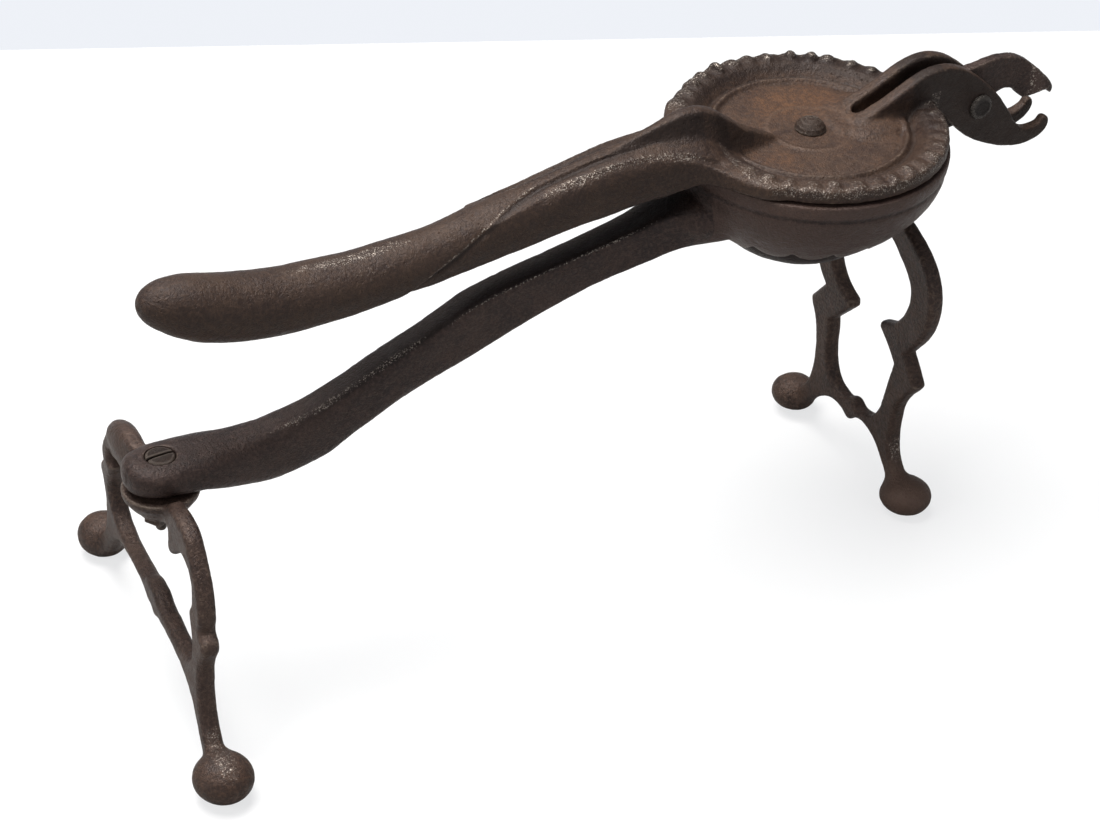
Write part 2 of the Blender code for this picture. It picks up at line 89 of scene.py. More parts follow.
def hermite(t):
    """Weights of the start, its tangent, the end and its tangent."""
    t2, t3 = t * t, t * t * t
    return 2 * t3 - 3 * t2 + 1, t3 - 2 * t2 + t, 3 * t2 - 2 * t3, t3 - t2


def pchip(knots, values, at):
    """Smooth interpolation that never overshoots its points."""
    knots, values = np.asarray(knots, float), np.asarray(values, float)
    gap = np.diff(knots)
    slope = np.diff(values) / gap
    before, after = slope[:-1], slope[1:]
    tangent = np.zeros_like(values)
    left, right = 2 * gap[1:] + gap[:-1], gap[1:] + 2 * gap[:-1]
    good = before * after > 0
    tangent[1:-1][good] = (left + right)[good] / (left[good] / before[good]
                                                  + right[good] / after[good])
    tangent[0], tangent[-1] = slope[0], slope[-1]
    i = np.clip(np.searchsorted(knots, at) - 1, 0, len(knots) - 2)
    start, start_tangent, end, end_tangent = hermite(unit((at - knots[i]) / gap[i]))
    return (start * values[i] + start_tangent * gap[i] * tangent[i]
            + end * values[i + 1] + end_tangent * gap[i] * tangent[i + 1])


def along(x, knots, values):
    """Interpolates down the grid's X axis."""
    return pchip(knots, values, x.ravel()).reshape(-1, 1, 1)


def smin(one, two, blend):
    """Minimum with a fillet of the given size."""
    if blend <= 0:
        return np.minimum(one, two)
    t = unit(0.5 + 0.5 * (two - one) / blend)
    return two + (one - two) * t - blend * t * (1 - t)


def smax(one, two, blend):
    return -smin(-one, -two, blend)


def noise(points, size, seed):
    """Value noise, 0 to 1, with cells of the given size."""
    scaled = np.asarray(points, float) / size
    cell = np.floor(scaled).astype(np.int64)
    part = scaled - cell
    part = part * part * part * (part * (part * 6 - 15) + 10)
    total = np.zeros(len(scaled))
    for corner in CORNERS:
        code = np.bitwise_xor.reduce((cell + corner) * HASH_PRIMES, axis=1) ^ (seed * 2654435)
        code = code & 0xFFFFFFFF
        code = ((code ^ (code >> 15)) * 2246822519) & 0xFFFFFFFF
        code = ((code ^ (code >> 13)) * 3266489917) & 0xFFFFFFFF
        code = code ^ (code >> 16)
        weight = np.where(corner, part, 1 - part).prod(axis=1)
        total += weight * (code / 4294967295.0)
    return total


def fractal(points, size, seed, octaves=3):
    value, strength, total = 0.0, 1.0, 0.0
    for octave in range(octaves):
        value = value + strength * noise(points, size / 2 ** octave, seed + 17 * octave)
        total += strength
        strength *= 0.55
    return value / total


# --------------------------------------------------------------------- shapes
# A shape is a function of x, y and z that gives a distance, negative inside.
def outline(points):
    """Closed curve through (across, up) points; a third item marks a sharp corner."""
    count = len(points)
    places = np.array([point[:2] for point in points], float)
    sharp = [len(point) > 2 for point in points]
    curve = []
    for i in range(count):
        j = (i + 1) % count
        before, start, end, after = places[i - 1], places[i], places[j], places[(i + 2) % count]
        gap_in, gap, gap_out = (max(np.linalg.norm(second - first), 1e-6) for first, second
                                in ((before, start), (start, end), (end, after)))
        chord = leave = arrive = (end - start) / gap
        if not sharp[i]:
            leave = ((start - before) / gap_in * gap + chord * gap_in) / (gap_in + gap)
        if not sharp[j]:
            arrive = (chord * gap_out + (after - end) / gap_out * gap) / (gap + gap_out)
        for step in range(CURVE_STEPS):
            weight = hermite(step / CURVE_STEPS)
            curve.append(tuple(weight[0] * start + weight[1] * leave * gap
                               + weight[2] * end + weight[3] * arrive * gap))
    return curve


def poly(across, up, corners):
    """Signed distance to a closed polygon, negative inside."""
    across, up = np.broadcast_arrays(across, up)
    best = np.full(across.shape, 1e9)
    inside = np.zeros(across.shape, bool)
    for (ax, ay), (bx, by) in zip(corners, corners[1:] + corners[:1]):
        run, rise = bx - ax, by - ay
        off_x, off_y = across - ax, up - ay
        t = unit((off_x * run + off_y * rise) / max(run * run + rise * rise, 1e-12))
        best = np.minimum(best, (off_x - run * t) ** 2 + (off_y - rise * t) ** 2)
        if abs(rise) > 1e-12:
            cross = (ay <= up) != (by <= up)
            inside ^= cross & (across < ax + (up - ay) / rise * run)
    return np.where(inside, -np.sqrt(best), np.sqrt(best))


def poly_xz(x, z, corners):
    return poly(x[:, :, 0], z[:, 0, :], corners)[:, None, :]


def poly_yz(y, z, corners):
    return poly(y[0], z[0], corners)[None]


def between(value, low, high):
    return np.maximum(low - value, value - high)


def slab(flat, depth, radius):
    """A flat outline given thickness, with rounded edges."""
    flat, depth = flat + radius, depth + radius
    outer = dist(np.maximum(flat, 0), np.maximum(depth, 0))
    return outer + np.minimum(np.maximum(flat, depth), 0) - radius


def egg(centre, radii):
    """An ellipsoid, near enough."""
    def shape(*place):
        off = [value - middle for value, middle in zip(place, centre)]
        size = dist(*(value / radius for value, radius in zip(off, radii)))
        steep = dist(*(value / radius ** 2 for value, radius in zip(off, radii)))
        return size * (size - 1) / np.maximum(steep, 1e-6)
    return shape


def bar(stations):
    """A bar through superellipse sections (x, middle z, half y, half z, power)."""
    def shape(x, y, z):
        middle, half_y, half_z, power = (along(x, stations[:, 0], column)
                                         for column in stations.T[1:])
        height = (z - middle) * (1 / dist(1, np.gradient(middle, x.ravel(), axis=0)))
        size = (np.abs(y / half_y) ** power + np.abs(height / half_z) ** power
                + 1e-9) ** (1 / power)
        away = dist(y, height) * (1 - 1 / size)
        away = np.where(size < 0.15, -np.minimum(half_y, half_z) * 0.85, away)
        return np.maximum(away, between(x, stations[0, 0], stations[-1, 0]))
    return shape


def turned(profile):
    """A round solid about x = y = 0 from its (radius, height) outline."""
    corners = [(-radius, high) for radius, high in profile[::-1] if radius > 1e-6] + profile

    def shape(x, y, z):
        radius = dist(x, y)
        samples = np.arange(0, radius.max() + 0.2, 0.1)
        table = poly(samples[:, None], z.ravel()[None, :], corners)
        place = np.clip(radius / 0.1, 0, len(samples) - 1.001)[:, :, 0]
        low = np.floor(place).astype(int)
        t = (place - low)[:, :, None]
        return table[low] * (1 - t) + table[low + 1] * t
    return shape


def bore(radius, centre_x=0.0):
    """An endless upright hole."""
    return lambda x, y, z: dist(x - centre_x, y) - radius


def hinge_bore(radius):
    return lambda x, y, z: dist(x - HINGE[0], z - HINGE[1]) - radius


def driver_slot(angle, half, bottom, facing=1, offset=0.0):
    """A slot across a screw head that faces up (1) or down (-1)."""
    def shape(x, y, z):
        across = -x * math.sin(angle) + y * math.cos(angle)
        return np.maximum(np.abs(across - offset) - half, facing * (bottom - z))
    return shape


class Field:
    """Distances on a grid; each change is limited to a box from low to high."""

    def __init__(self, low, high, step, shape=None, blend=0.0):
        self.low, self.step = np.array(low, float), step
        self.size = np.ceil((np.array(high, float) - self.low) / step).astype(int) + 1
        self.value = np.full(self.size, 8.0, np.float32)
        if shape:
            self.add(low, high, shape, blend)

    def part(self, low, high):
        start = np.floor((np.array(low) - self.low) / self.step).astype(int)
        end = np.ceil((np.array(high) - self.low) / self.step).astype(int) + 1
        start, end = np.clip(start, 0, self.size - 1), np.clip(end, 1, self.size)
        axes = [self.low[i] + self.step * np.arange(start[i], end[i]) for i in range(3)]
        box = tuple(slice(start[i], end[i]) for i in range(3))
        return box, (axes[0][:, None, None], axes[1][None, :, None], axes[2][None, None, :])

    def add(self, low, high, shape, blend=0.0):
        box, axes = self.part(low, high)
        self.value[box] = smin(self.value[box], shape(*axes), blend)

    def cut(self, low, high, shape, blend=0.0):
        box, axes = self.part(low, high)
        self.value[box] = smax(self.value[box], -shape(*axes), blend)

    def shift(self, low, high, rise):
        """Raises or lowers the surface by the given function."""
        box, axes = self.part(low, high)
        self.value[box] = self.value[box] - rise(*axes)

    def surface(self):
        """Surface nets: one point per cell that the surface crosses."""
        value, size = self.value, self.size
        # close the surface at the sides of the grid
        for axis in range(3):
            border = [slice(None)] * 3
            for end in (0, -1):
                border[axis] = end
                value[tuple(border)] = np.maximum(value[tuple(border)], 0.2)
        inside = value < 0
        count = inside[:-1].astype(np.uint8) + inside[1:]
        count = count[:, :-1] + count[:, 1:]
        count = count[:, :, :-1] + count[:, :, 1:]
        cells = np.argwhere((count > 0) & (count < 8))
        index = np.full(count.shape, -1, np.int32)
        index[tuple(cells.T)] = np.arange(len(cells))
        at = np.stack([value[tuple((cells + corner).T)] for corner in CORNERS], 1).astype(float)
        total, hits = np.zeros((len(cells), 3)), np.zeros(len(cells))
        for i in range(8):
            for j in range(i + 1, 8):
                if np.abs(CORNERS[i] - CORNERS[j]).sum() != 1:
                    continue
                hit = (at[:, i] < 0) != (at[:, j] < 0)
                t = np.where(hit, at[:, i] / np.where(hit, at[:, i] - at[:, j], 1), 0)
                total += np.where(hit[:, None],
                                  CORNERS[i] + t[:, None] * (CORNERS[j] - CORNERS[i]), 0)
                hits += hit
        points = self.low + self.step * (cells + total / hits[:, None])
        quads = []
        for axis in range(3):
            second, third = (axis + 1) % 3, (axis + 2) % 3
            low, high = [slice(None)] * 3, [slice(None)] * 3
            low[axis], high[axis] = slice(0, -1), slice(1, None)
            at = np.argwhere(inside[tuple(low)] != inside[tuple(high)])
            at = at[(at[:, second] > 0) & (at[:, third] > 0)
                    & (at[:, second] < size[second] - 1) & (at[:, third] < size[third] - 1)]
            back_2, back_3 = np.eye(3, dtype=int)[second], np.eye(3, dtype=int)[third]
            around = (at - back_2 - back_3, at - back_3, at, at - back_2)
            faces = np.stack([index[tuple(cell.T)] for cell in around], 1)
            flip = ~inside[tuple(at.T)]
            faces[flip] = faces[flip][:, ::-1]
            quads.append(faces)
        return points, np.concatenate(quads)


# --------------------------------------------------------------- mesh helpers
def edges_of(quads):
    """The two ends of every edge, as two arrays."""
    pairs = np.concatenate([quads[:, [i, (i + 1) % 4]] for i in range(4)])
    pairs = np.sort(pairs, 1)
    key = np.unique(pairs[:, 0].astype(np.int64) * (1 << 32) + pairs[:, 1])
    return (key >> 32).astype(np.int64), (key & 0xFFFFFFFF).astype(np.int64)


def blur(points, edges, rounds, weight=0.5):
    """Averages each point with its neighbours, a few times over."""
    first, second = edges
    size = len(points)
    links = np.bincount(first, minlength=size) + np.bincount(second, minlength=size)
    links = np.maximum(links, 1)[:, None]
    for _ in range(rounds):
        mean = np.stack([np.bincount(first, column[second], size)
                         + np.bincount(second, column[first], size)
                         for column in points.T], 1) / links
        points = points + weight * (mean - points)
    return points


def normals(points, quads):
    face = np.cross(points[quads[:, 2]] - points[quads[:, 0]],
                    points[quads[:, 3]] - points[quads[:, 1]])
    total = np.zeros_like(points)
    for axis in range(3):
        for i in range(4):
            total[:, axis] += np.bincount(quads[:, i], face[:, axis], len(points))
    return total / np.maximum(np.linalg.norm(total, axis=1), 1e-9)[:, None]


def largest(points, quads):
    """Keeps the one connected body and drops any crumbs."""
    first, second = edges_of(quads)
    label = np.arange(len(points))
    while True:
        low = np.minimum(label[first], label[second])
        new = label.copy()
        np.minimum.at(new, first, low)
        np.minimum.at(new, second, low)
        new = new[new]
        new = new[new]
        if (new == label).all():
            break
        label = new
    ids, counts = np.unique(label, return_counts=True)
    keep = label == ids[counts.argmax()]
    move = np.cumsum(keep) - 1
    return points[keep], move[quads[keep[quads].all(1)]]


def cast(piece, body, material, field, grain, seed,
         paint=None, place=(0, 0, 0), guard=None, bend=None):
    """Field to finished object: surface, casting grain, and masks for wear, rust, and painted
    light and shade.

    paint gives the speck, rust and tone masks (worn specks with painted glints,
    and tone with painted light and shade), guard holds the grain back, and bend and then place
    move the points.
    """
    points, quads = largest(*field.surface())
    edges = edges_of(quads)
    points = blur(points, edges, 2, 0.45)
    normal = normals(points, quads)

    # edges and hollows stand off a lightly and a widely blurred copy
    step = field.step
    near = int(max(3, (0.9 / step) ** 2 * 2))
    wide = int(max(8, (2.6 / step) ** 2 * 2))
    fine = ((points - blur(points, edges, near)) * normal).sum(1)
    broad = ((points - blur(points, edges, min(wide, 70))) * normal).sum(1)
    edge = np.clip(fine / (0.11 * max(step / 0.5, 0.5)), -2, 2)
    hollow = np.clip(-broad / 0.45, -1, 2)

    # casting grain at three sizes, and scattered pits
    relief = (0.16 * (fractal(points, 11.0, seed) - 0.5)
              + 0.16 * (fractal(points, 3.6, seed + 3, 2) - 0.5)
              + 0.10 * (fractal(points, 1.5, seed + 7, 2) - 0.5))
    pits = unit(noise(points, 2.1, seed + 31) - 0.80) * 0.5
    amount = grain * guard(points) if guard else grain
    points = points + normal * ((relief - pits) * amount)[:, None]

    none = np.zeros(len(points))
    masks = {"edge": edge, "hollow": hollow, "up": normal[:, 2],
             "speck": none, "rust": none, "tone": none}
    if paint:
        masks.update(paint(points, normal, edge))
    if bend:
        points = bend(points)
    points = points + np.array(place, np.float32)

    mesh = bpy.data.meshes.new(f"{piece}_cast")
    metres = ((points + np.array([DISC_X, 0, 0])) / 1000).astype(np.float32)
    mesh.vertices.add(len(points))
    mesh.vertices.foreach_set("co", metres.ravel())
    mesh.loops.add(len(quads) * 4)
    mesh.loops.foreach_set("vertex_index", quads.astype(np.int32).ravel())
    mesh.polygons.add(len(quads))
    mesh.polygons.foreach_set("loop_start", np.arange(0, len(quads) * 4, 4, dtype=np.int32))
    mesh.update(calc_edges=True)
    mesh.shade_smooth()
    for key, value in masks.items():
        attribute = mesh.attributes.new(key, "FLOAT", "POINT")
        attribute.data.foreach_set("value", np.asarray(value, np.float32))
    obj = bpy.data.objects.new(f"{piece}_cast", mesh)
    bpy.context.scene.collection.objects.link(obj)
    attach(obj, body)
    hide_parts(piece)
    mesh.materials.append(material)


# ------------------------------------------------------------------ materials
def shade(colour, factor):
    return tuple(part * factor for part in colour)


def build_iron(name, dark, light, worn, rough, metal, rust, mottling=1.0, scale=1.0):
    """Patinated iron; scale enlarges its pattern, worn is its rubbed colour."""
    mat = bpy.data.materials.new(name)
    mat.use_nodes = True
    tree = mat.node_tree
    tree.nodes.clear()
    new, link = tree.nodes.new, tree.links.new
    out = new("ShaderNodeOutputMaterial")
    bsdf = new("ShaderNodeBsdfPrincipled")
    link(bsdf.outputs[0], out.inputs[0])
    coord = new("ShaderNodeTexCoord").outputs["Object"]

    def tex(size, detail, roughness, distortion=0.0):
        """Noise with features of a size in millimetres."""
        node = new("ShaderNodeTexNoise")
        node.inputs["Scale"].default_value = 1000.0 / size / scale
        node.inputs["Detail"].default_value = detail
        node.inputs["Roughness"].default_value = roughness
        node.inputs["Distortion"].default_value = distortion
        link(coord, node.inputs["Vector"])
        return node.outputs["Fac"]

    def attribute(key):
        node = new("ShaderNodeAttribute")
        node.attribute_name = key
        return node.outputs["Fac"]

    def calc(operation, first, second, clamp=False):
        node = new("ShaderNodeMath")
        node.operation = operation
        node.use_clamp = clamp
        for socket, value in zip(node.inputs, (first, second)):
            if isinstance(value, (int, float)):
                socket.default_value = value
            else:
                link(value, socket)
        return node.outputs[0]

    add, sub, mul = (partial(calc, operation) for operation in ("ADD", "SUBTRACT", "MULTIPLY"))

    def swing(value, amount):
        """Noise moved to swing about zero."""
        return mul(sub(value, 0.5), amount)

    def span(value, start, end, low=0.0, high=1.0):
        """Smooth step from low to high as value runs from start to end."""
        node = new("ShaderNodeMapRange")
        node.interpolation_type = "SMOOTHSTEP"
        node.inputs["From Min"].default_value = start
        node.inputs["From Max"].default_value = end
        node.inputs["To Min"].default_value = low
        node.inputs["To Max"].default_value = high
        link(value, node.inputs["Value"])
        return node.outputs["Result"]

    def mix(factor, first, second):
        node = new("ShaderNodeMix")
        node.data_type = "RGBA"
        link(factor, node.inputs[0])
        for socket, value in ((node.inputs[6], first), (node.inputs[7], second)):
            if isinstance(value, tuple):
                socket.default_value = (*value, 1)
            else:
                link(value, socket)
        return node.outputs[2]

    broad = tex(size=17, detail=4, roughness=0.6, distortion=0.3)
    middle = tex(size=4.2, detail=5, roughness=0.62)
    small = tex(size=1.1, detail=4, roughness=0.6)
    grit = tex(size=0.45, detail=2, roughness=0.6)
    edge, hollow = attribute("edge"), attribute("hollow")
    speck, rusty, tone = attribute("speck"), attribute("rust"), attribute("tone")

    # patina: two browns, mottled at two sizes, with pale flecks and dark grit
    mottle = add(mul(broad, 0.55), mul(middle, 0.45))
    base = mix(span(mottle, 0.5 - 0.16 / mottling, 0.5 + 0.16 / mottling), dark, light)
    flecks = mul(span(small, 0.42, 0.66), 0.50 * mottling, True)
    base = mix(flecks, base, shade(light, 1.75))
    base = mix(mul(span(grit, 0.52, 0.68), 0.50, True), base, shade(dark, 0.45))
    # rust where the casting holds damp, and wherever it is painted in
    rusted = add(mul(rusty, 0.75), mul(span(hollow, 0.2, 1.2), 0.25 * rust))
    rusted = add(rusted, swing(middle, 0.5))
    rusted = add(rusted, swing(tex(size=14, detail=5, roughness=0.6), 1.2 * rust))
    rusted = span(rusted, 0.25, 1.0)
    rust_colour = mix(span(small, 0.38, 0.62), (0.060, 0.026, 0.012), (0.130, 0.056, 0.022))
    base = mix(mul(rusted, 0.78, True), base, rust_colour)
    # darker in the hollows
    base = mix(span(hollow, 0.25, 1.3, high=0.55), base, shade(dark, 0.30))
    # overall tone, lighter where tone is positive: the casting's own tone, and painted light
    # and shade
    base = mix(span(tone, 0.0, 1.0, high=0.8), base, shade(light, 1.6))
    base = mix(span(tone, 0.0, -1.0, high=0.75), base, shade(dark, 0.5))
    # rubbed edges, broken up by the noise
    rubbed = add(add(edge, swing(small, 2.4)), swing(middle, 1.6))
    rubbed = span(rubbed, 0.75, 2.1)
    base = mix(mul(rubbed, 0.45, True), base, worn)
    # bright specks: polished grain on worn spots, and painted glints and highlights on lit
    # ridges, edges and the jaw
    bright = add(span(grit, 0.50, 0.62), mul(span(small, 0.50, 0.66), 0.8))
    bright = span(mul(speck, bright), 0.34, 1.0)
    base = mix(mul(bright, 0.80, True), base, (0.42, 0.37, 0.325))
    link(base, bsdf.inputs["Base Color"])

    # rust is less metallic and rougher; specks and rubbed edges are smoother
    metallic = add(mul(sub(1.0, rusted), metal), mul(bright, 0.5), True)
    link(metallic, bsdf.inputs["Metallic"])
    bsdf.inputs["Specular IOR Level"].default_value = 0.34
    gloss = add(add(rough, swing(middle, 0.45)), mul(rusted, 0.22))
    gloss = sub(sub(gloss, mul(rubbed, 0.10)), mul(bright, 0.15), True)
    link(gloss, bsdf.inputs["Roughness"])

    # bump: grain, pits in patches, and a grittier surface on the rust
    pits = new("ShaderNodeTexVoronoi")
    pits.inputs["Scale"].default_value = 1000.0 / 1.3 / scale
    pits.inputs["Randomness"].default_value = 1.0
    link(coord, pits.inputs["Vector"])
    hole = span(pits.outputs["Distance"], 0.0, 0.34)
    hole = mul(sub(hole, 1.0), span(middle, 0.42, 0.62))
    height = add(mul(small, 0.55), mul(grit, 0.30))
    height = add(height, mul(hole, 0.35))
    height = add(height, mul(rusted, mul(grit, 0.5)))
    bump = new("ShaderNodeBump")
    bump.inputs["Strength"].default_value = 0.95
    bump.inputs["Distance"].default_value = 0.0007
    link(height, bump.inputs["Height"])
    link(bump.outputs[0], bsdf.inputs["Normal"])
    return mat


IRON = build_iron(
    "cast_iron_brown", dark=(0.0200, 0.0122, 0.0115), light=(0.0470, 0.0295, 0.0245),
    worn=(0.15, 0.115, 0.093), rough=0.45, metal=0.35, rust=0.22)
IRON_DISC = build_iron(
    "cast_iron_disc", dark=(0.0250, 0.0140, 0.0115), light=(0.054, 0.0315, 0.0210),
    worn=(0.17, 0.13, 0.10), rough=0.52, metal=0.25, rust=0.55, mottling=0.8)
IRON_LEGS = build_iron(
    "cast_iron_legs", dark=(0.0250, 0.0152, 0.0130), light=(0.0600, 0.0375, 0.0290),
    worn=(0.17, 0.135, 0.108), rough=0.46, metal=0.34, rust=0.28)
STEEL = build_iron(
    "rivet_steel", dark=(0.015, 0.0115, 0.0108), light=(0.032, 0.025, 0.022),
    worn=(0.11, 0.10, 0.09), rough=0.36, metal=0.6, rust=0.15, scale=0.6)
SCREW = build_iron(
    "screw_rusty", dark=(0.018, 0.0090, 0.0060), light=(0.036, 0.0200, 0.0130),
    worn=(0.12, 0.095, 0.078), rough=0.48, metal=0.2, rust=0.9, scale=0.6)


# ---------------------------------------------------------------- disc lever
# bar stations: x, middle z, half width, half height, superellipse power
GRIP = np.array([
    (-237.1, 137.9, 0.5, 0.5, 2), (-236.5, 137.9, 2.7, 2.6, 2), (-234.8, 137.7, 5, 4.9, 2),
    (-231.2, 137, 7.4, 7.2, 2), (-225.5, 135.4, 9.3, 9.1, 2), (-217, 132.9, 10.5, 10.4, 2),
    (-204, 130, 10.8, 10.6, 2), (-187, 128.3, 10.7, 10.2, 2), (-170, 128.4, 10.1, 9.7, 2),
    (-153, 129.8, 9.5, 9.15, 2), (-140, 130.9, 9.1, 9.25, 2), (-128, 133.6, 9, 8.9, 2),
    (-116, 136.2, 9.1, 9.2, 2), (-104, 138.8, 9.3, 9.3, 2), (-92, 141.1, 9.5, 9.8, 2),
    (-80, 143.3, 9.5, 10.2, 2), (-66, 144.9, 9.5, 10.2, 2)], float)
SOCKET = np.array([
    (-158, 129.6, 7.6, 7.6, 2), (-150, 130.1, 8.3, 8.6, 2), (-142, 130.8, 8.4, 8.8, 2.1),
    (-134, 132.3, 8.5, 8.7, 2.2), (-126, 134, 8.7, 8.8, 2.4), (-118, 135.5, 8.8, 8.8, 2.6),
    (-108, 137.5, 8.9, 8.9, 2.8), (-94, 140.5, 9.2, 9.1, 3), (-80, 142.7, 9.6, 9.5, 3.2),
    (-68, 144.4, 10.2, 8.9, 3.4), (-60, 144.9, 10.8, 8.5, 3.4), (-54, 145.2, 11.6, 6.8, 3.2),
    (-48.5, 145.4, 13.2, 4.4, 3), (-44, 145.3, 15, 3, 2.8)], float)
# the saddle over the socket: x, half width and height of its outer edge, half
# width and height of the foot of the middle ridge, height of the ridge
SADDLE = np.array([
    (-124, 7.6, 141.4, 2, 141.4, 141.4), (-118, 7.4, 142.6, 2, 142.4, 142.4),
    (-111, 7, 144.3, 1.7, 144, 144), (-104, 6.1, 146.1, 1.6, 145.6, 145.9),
    (-97, 5.5, 148.1, 1.6, 147.4, 148), (-90, 5.6, 150.2, 1.7, 149.6, 150.4),
    (-84, 6, 151.5, 1.9, 151, 152), (-75, 6.7, 152.8, 2.3, 152.6, 154.6),
    (-68, 7.4, 153, 2.8, 153.8, 156.8), (-62, 8.2, 152.7, 3.5, 154.6, 158.8),
    (-56, 9.6, 152.2, 4.5, 154.9, 160.8), (-50, 11.4, 151.2, 5.2, 154.8, 162.2),
    (-46, 12.6, 149.9, 5.6, 154, 162.2), (-42.5, 13, 148.2, 5.9, 152.6, 161.3),
    (-39, 12, 146.6, 6.2, 150.2, 159.8), (-36.5, 10.4, 145.4, 6.2, 148.2, 158),
    (-33, 9.2, 143.8, 6, 145.6, 155.6), (-29, 8.2, 143, 5.5, 144, 152.6),
    (-22, 6.6, 142.8, 4.4, 143.5, 148.8), (-16, 5, 142.6, 3.2, 143.4, 145.8),
    (-12.5, 3.6, 142.4, 2, 143.3, 143.4)], float)
# side view of a cheek: x, z
CHEEK = outline([
    (13.5, 141.9, 1), (14.5, 144.5), (19, 148), (26, 151.3), (32, 154.5), (38, 157.4),
    (44, 158.9), (50, 158.6), (55, 157), (60, 154), (66, 149.3), (71, 144.5),
    (75.3, 139.3), (78.7, 134.7), (81.2, 131), (83.8, 128.5), (87, 127.2), (90, 127.4),
    (92.2, 128.6), (93.9, 130.7), (95.5, 130.5), (96.4, 128.6), (95.5, 125.7),
    (93, 123.4), (90, 122.1), (86, 121.4), (82, 121.6), (76, 122.9), (70, 125.1),
    (64.4, 127.8), (59.7, 130.9), (56, 134.2), (52.4, 137.9), (48.4, 141.9, 1)])
# x, and how far round the grip the pointed leaf reaches, in degrees from the top
LEAF = np.array([
    (-156, 170), (-152, 136), (-149, 116), (-146, 103), (-142, 90), (-136, 76), (-130, 63.5),
    (-124, 49), (-118, 35), (-112, 22.5), (-107, 15), (-102, 10.8), (-88, 10.4), (-75, 13),
    (-60, 16)], float)

# uneven knobs round the rim
rng = np.random.default_rng(11)
KNOBS = 38
knob_angle = (np.arange(KNOBS) + rng.uniform(-0.13, 0.13, KNOBS)) * 2 * math.pi / KNOBS
knob_high = rng.uniform(0.7, 2.5, KNOBS)
knob_wide = rng.uniform(1.7, 2.9, KNOBS)
knob_long = rng.uniform(2.4, 3.9, KNOBS)
knob_radius = rng.uniform(41.4, 43.0, KNOBS)


def disc_plate(x, y, z):
    y = y - 0.35
    radius = dist(x, y)[:, :, 0]
    angle = np.arctan2(y, x)[:, :, 0]
    # a thin ring round the middle screw, a bead, and a ledge before the rim
    top = (DISC_Z + 0.60 * bell(radius, 14.0, 0.62) * (0.75 + 0.25 * np.cos(3 * angle + 1))
           + 0.15 * ramp(radius, 14.2, 13.2))
    top = top + 1.30 * bell(radius, 31.9, 1.05)
    top = top + 3.6 * ramp(radius, 33.4, 39.4)
    top = top - 0.45 * bell(radius, 34.2, 0.9)
    top = top - 0.30 * bell(radius, 29.8, 1.0)
    for turn, high, wide, long, middle in zip(knob_angle, knob_high, knob_wide, knob_long,
                                              knob_radius):
        out = radius * np.cos(angle - turn) - middle
        across = radius * np.sin(angle - turn)
        size = (out / long) ** 2 + (across / wide) ** 2
        signed_turn = turn - 2 * math.pi * (turn > math.pi)
        high = high * (0.55 if -2.6 < signed_turn < 0.3 else 1.0)
        top = (top + high * unit(1 - size) ** 0.7
               - 0.45 * bell(across, 3.65, 0.8) * bell(out, 0, 4.0))
    ripple = (0.08 + 0.24 * ramp(y[:, :, 0], -5, 20)) * np.cos(angle * KNOBS)
    side = radius - (45.55 + ripple)
    plate = smax(side[:, :, None], (z - top[:, :, None]) * 0.92, 1.5)
    bottom = np.where(radius < 38.3, 140.5, 142.0)[:, :, None]
    return smax(plate, bottom - z, 0.8)


def flare(x, y, z):
    """The casting spreads from the socket into the rim."""
    wide = along(x, [-66, -60, -54, -50, -47, -44, -41.5, -39, -36, -33],
                 [8, 10, 11.6, 13.4, 16, 20, 24, 27.6, 30.5, 31.5])
    side = (np.abs(y) - wide) / dist(1, np.gradient(wide, x.ravel(), axis=0))
    high = along(x, [-66, -58, -52, -47, -43, -39, -35, -30],
                 [150.6, 150.7, 149.9, 148.5, 147.4, 146.8, 146.2, 144.6])
    low = along(x, [-66, -58, -52, -48.5, -44, -30], [140, 140.2, 141.4, 142, 142, 142])
    body = smax(smax(side, z - high, 1.6), low - z, 1.0)
    return np.maximum(body, between(x, -66, -33))


def leaf_side(x, y, z):
    """Distance round the grip from the edge of the leaf."""
    up = z - along(x, GRIP[:, 0], GRIP[:, 1])
    edge = np.radians(along(x, LEAF[:, 0], LEAF[:, 1]))
    return (np.arctan2(np.abs(y), up) - edge) * np.minimum(dist(y, up), 11.0)


def grip(x, y, z):
    """The round grip, which narrows to a pointed leaf over the socket."""
    body = bar(GRIP)(x, y, z)
    return np.where(x < -155.5, body, smax(body, leaf_side(x, y, z) * 0.85, 0.25))


def leaf_groove(x, y, z):
    return (-0.55 * bell(leaf_side(x, y, z), 1.0, 0.75)
            * ramp(x, -152, -142) * ramp(-x, 80, 96))


def saddle(x, y, z):
    """Shoulders and middle ridge, which climbs over the rim and dies on the disc."""
    off = np.abs(y)[:, :, 0]
    edge_y, edge_z, foot_y, foot_z, ridge_z = (along(x, SADDLE[:, 0], column)[:, :, 0]
                                               for column in SADDLE.T[1:])
    out = unit((edge_y - off) / (edge_y - foot_y))
    shoulder = edge_z + (foot_z - edge_z) * out ** 1.15
    t = unit((off / foot_y - 0.46) / 0.54)
    crown = np.where(off < 0.46 * foot_y, 1 - 0.10 * (off / (0.46 * foot_y)) ** 2,
                     0.90 * (1 - t) ** 1.45)
    top = np.where(off < foot_y, foot_z + (ridge_z - foot_z) * crown, shoulder)
    slope_x = np.gradient(top, x.ravel(), axis=0)
    slope_y = np.gradient(top, y.ravel(), axis=1)
    body = (z - top[:, :, None]) / dist(1, slope_x, slope_y)[:, :, None]
    body = smax(body, (off - edge_y)[:, :, None], 0.7)
    body = smax(body, 141.0 - z - 4.0 * ramp(-x, 50, 62), 0.3)
    return np.maximum(body, between(x, -124, -12.5))


def cheek(side):
    def shape(x, y, z):
        lift = 1.4 * ramp(x, 82, 91) if side > 0 else -0.8 * ramp(x, 88, 96)
        half = 2.4 - 0.55 * ramp(x, 84, 96)
        return slab(poly_xz(x, z - lift, CHEEK), np.abs(y - side * 4.75) - half, 1.15)
    return shape


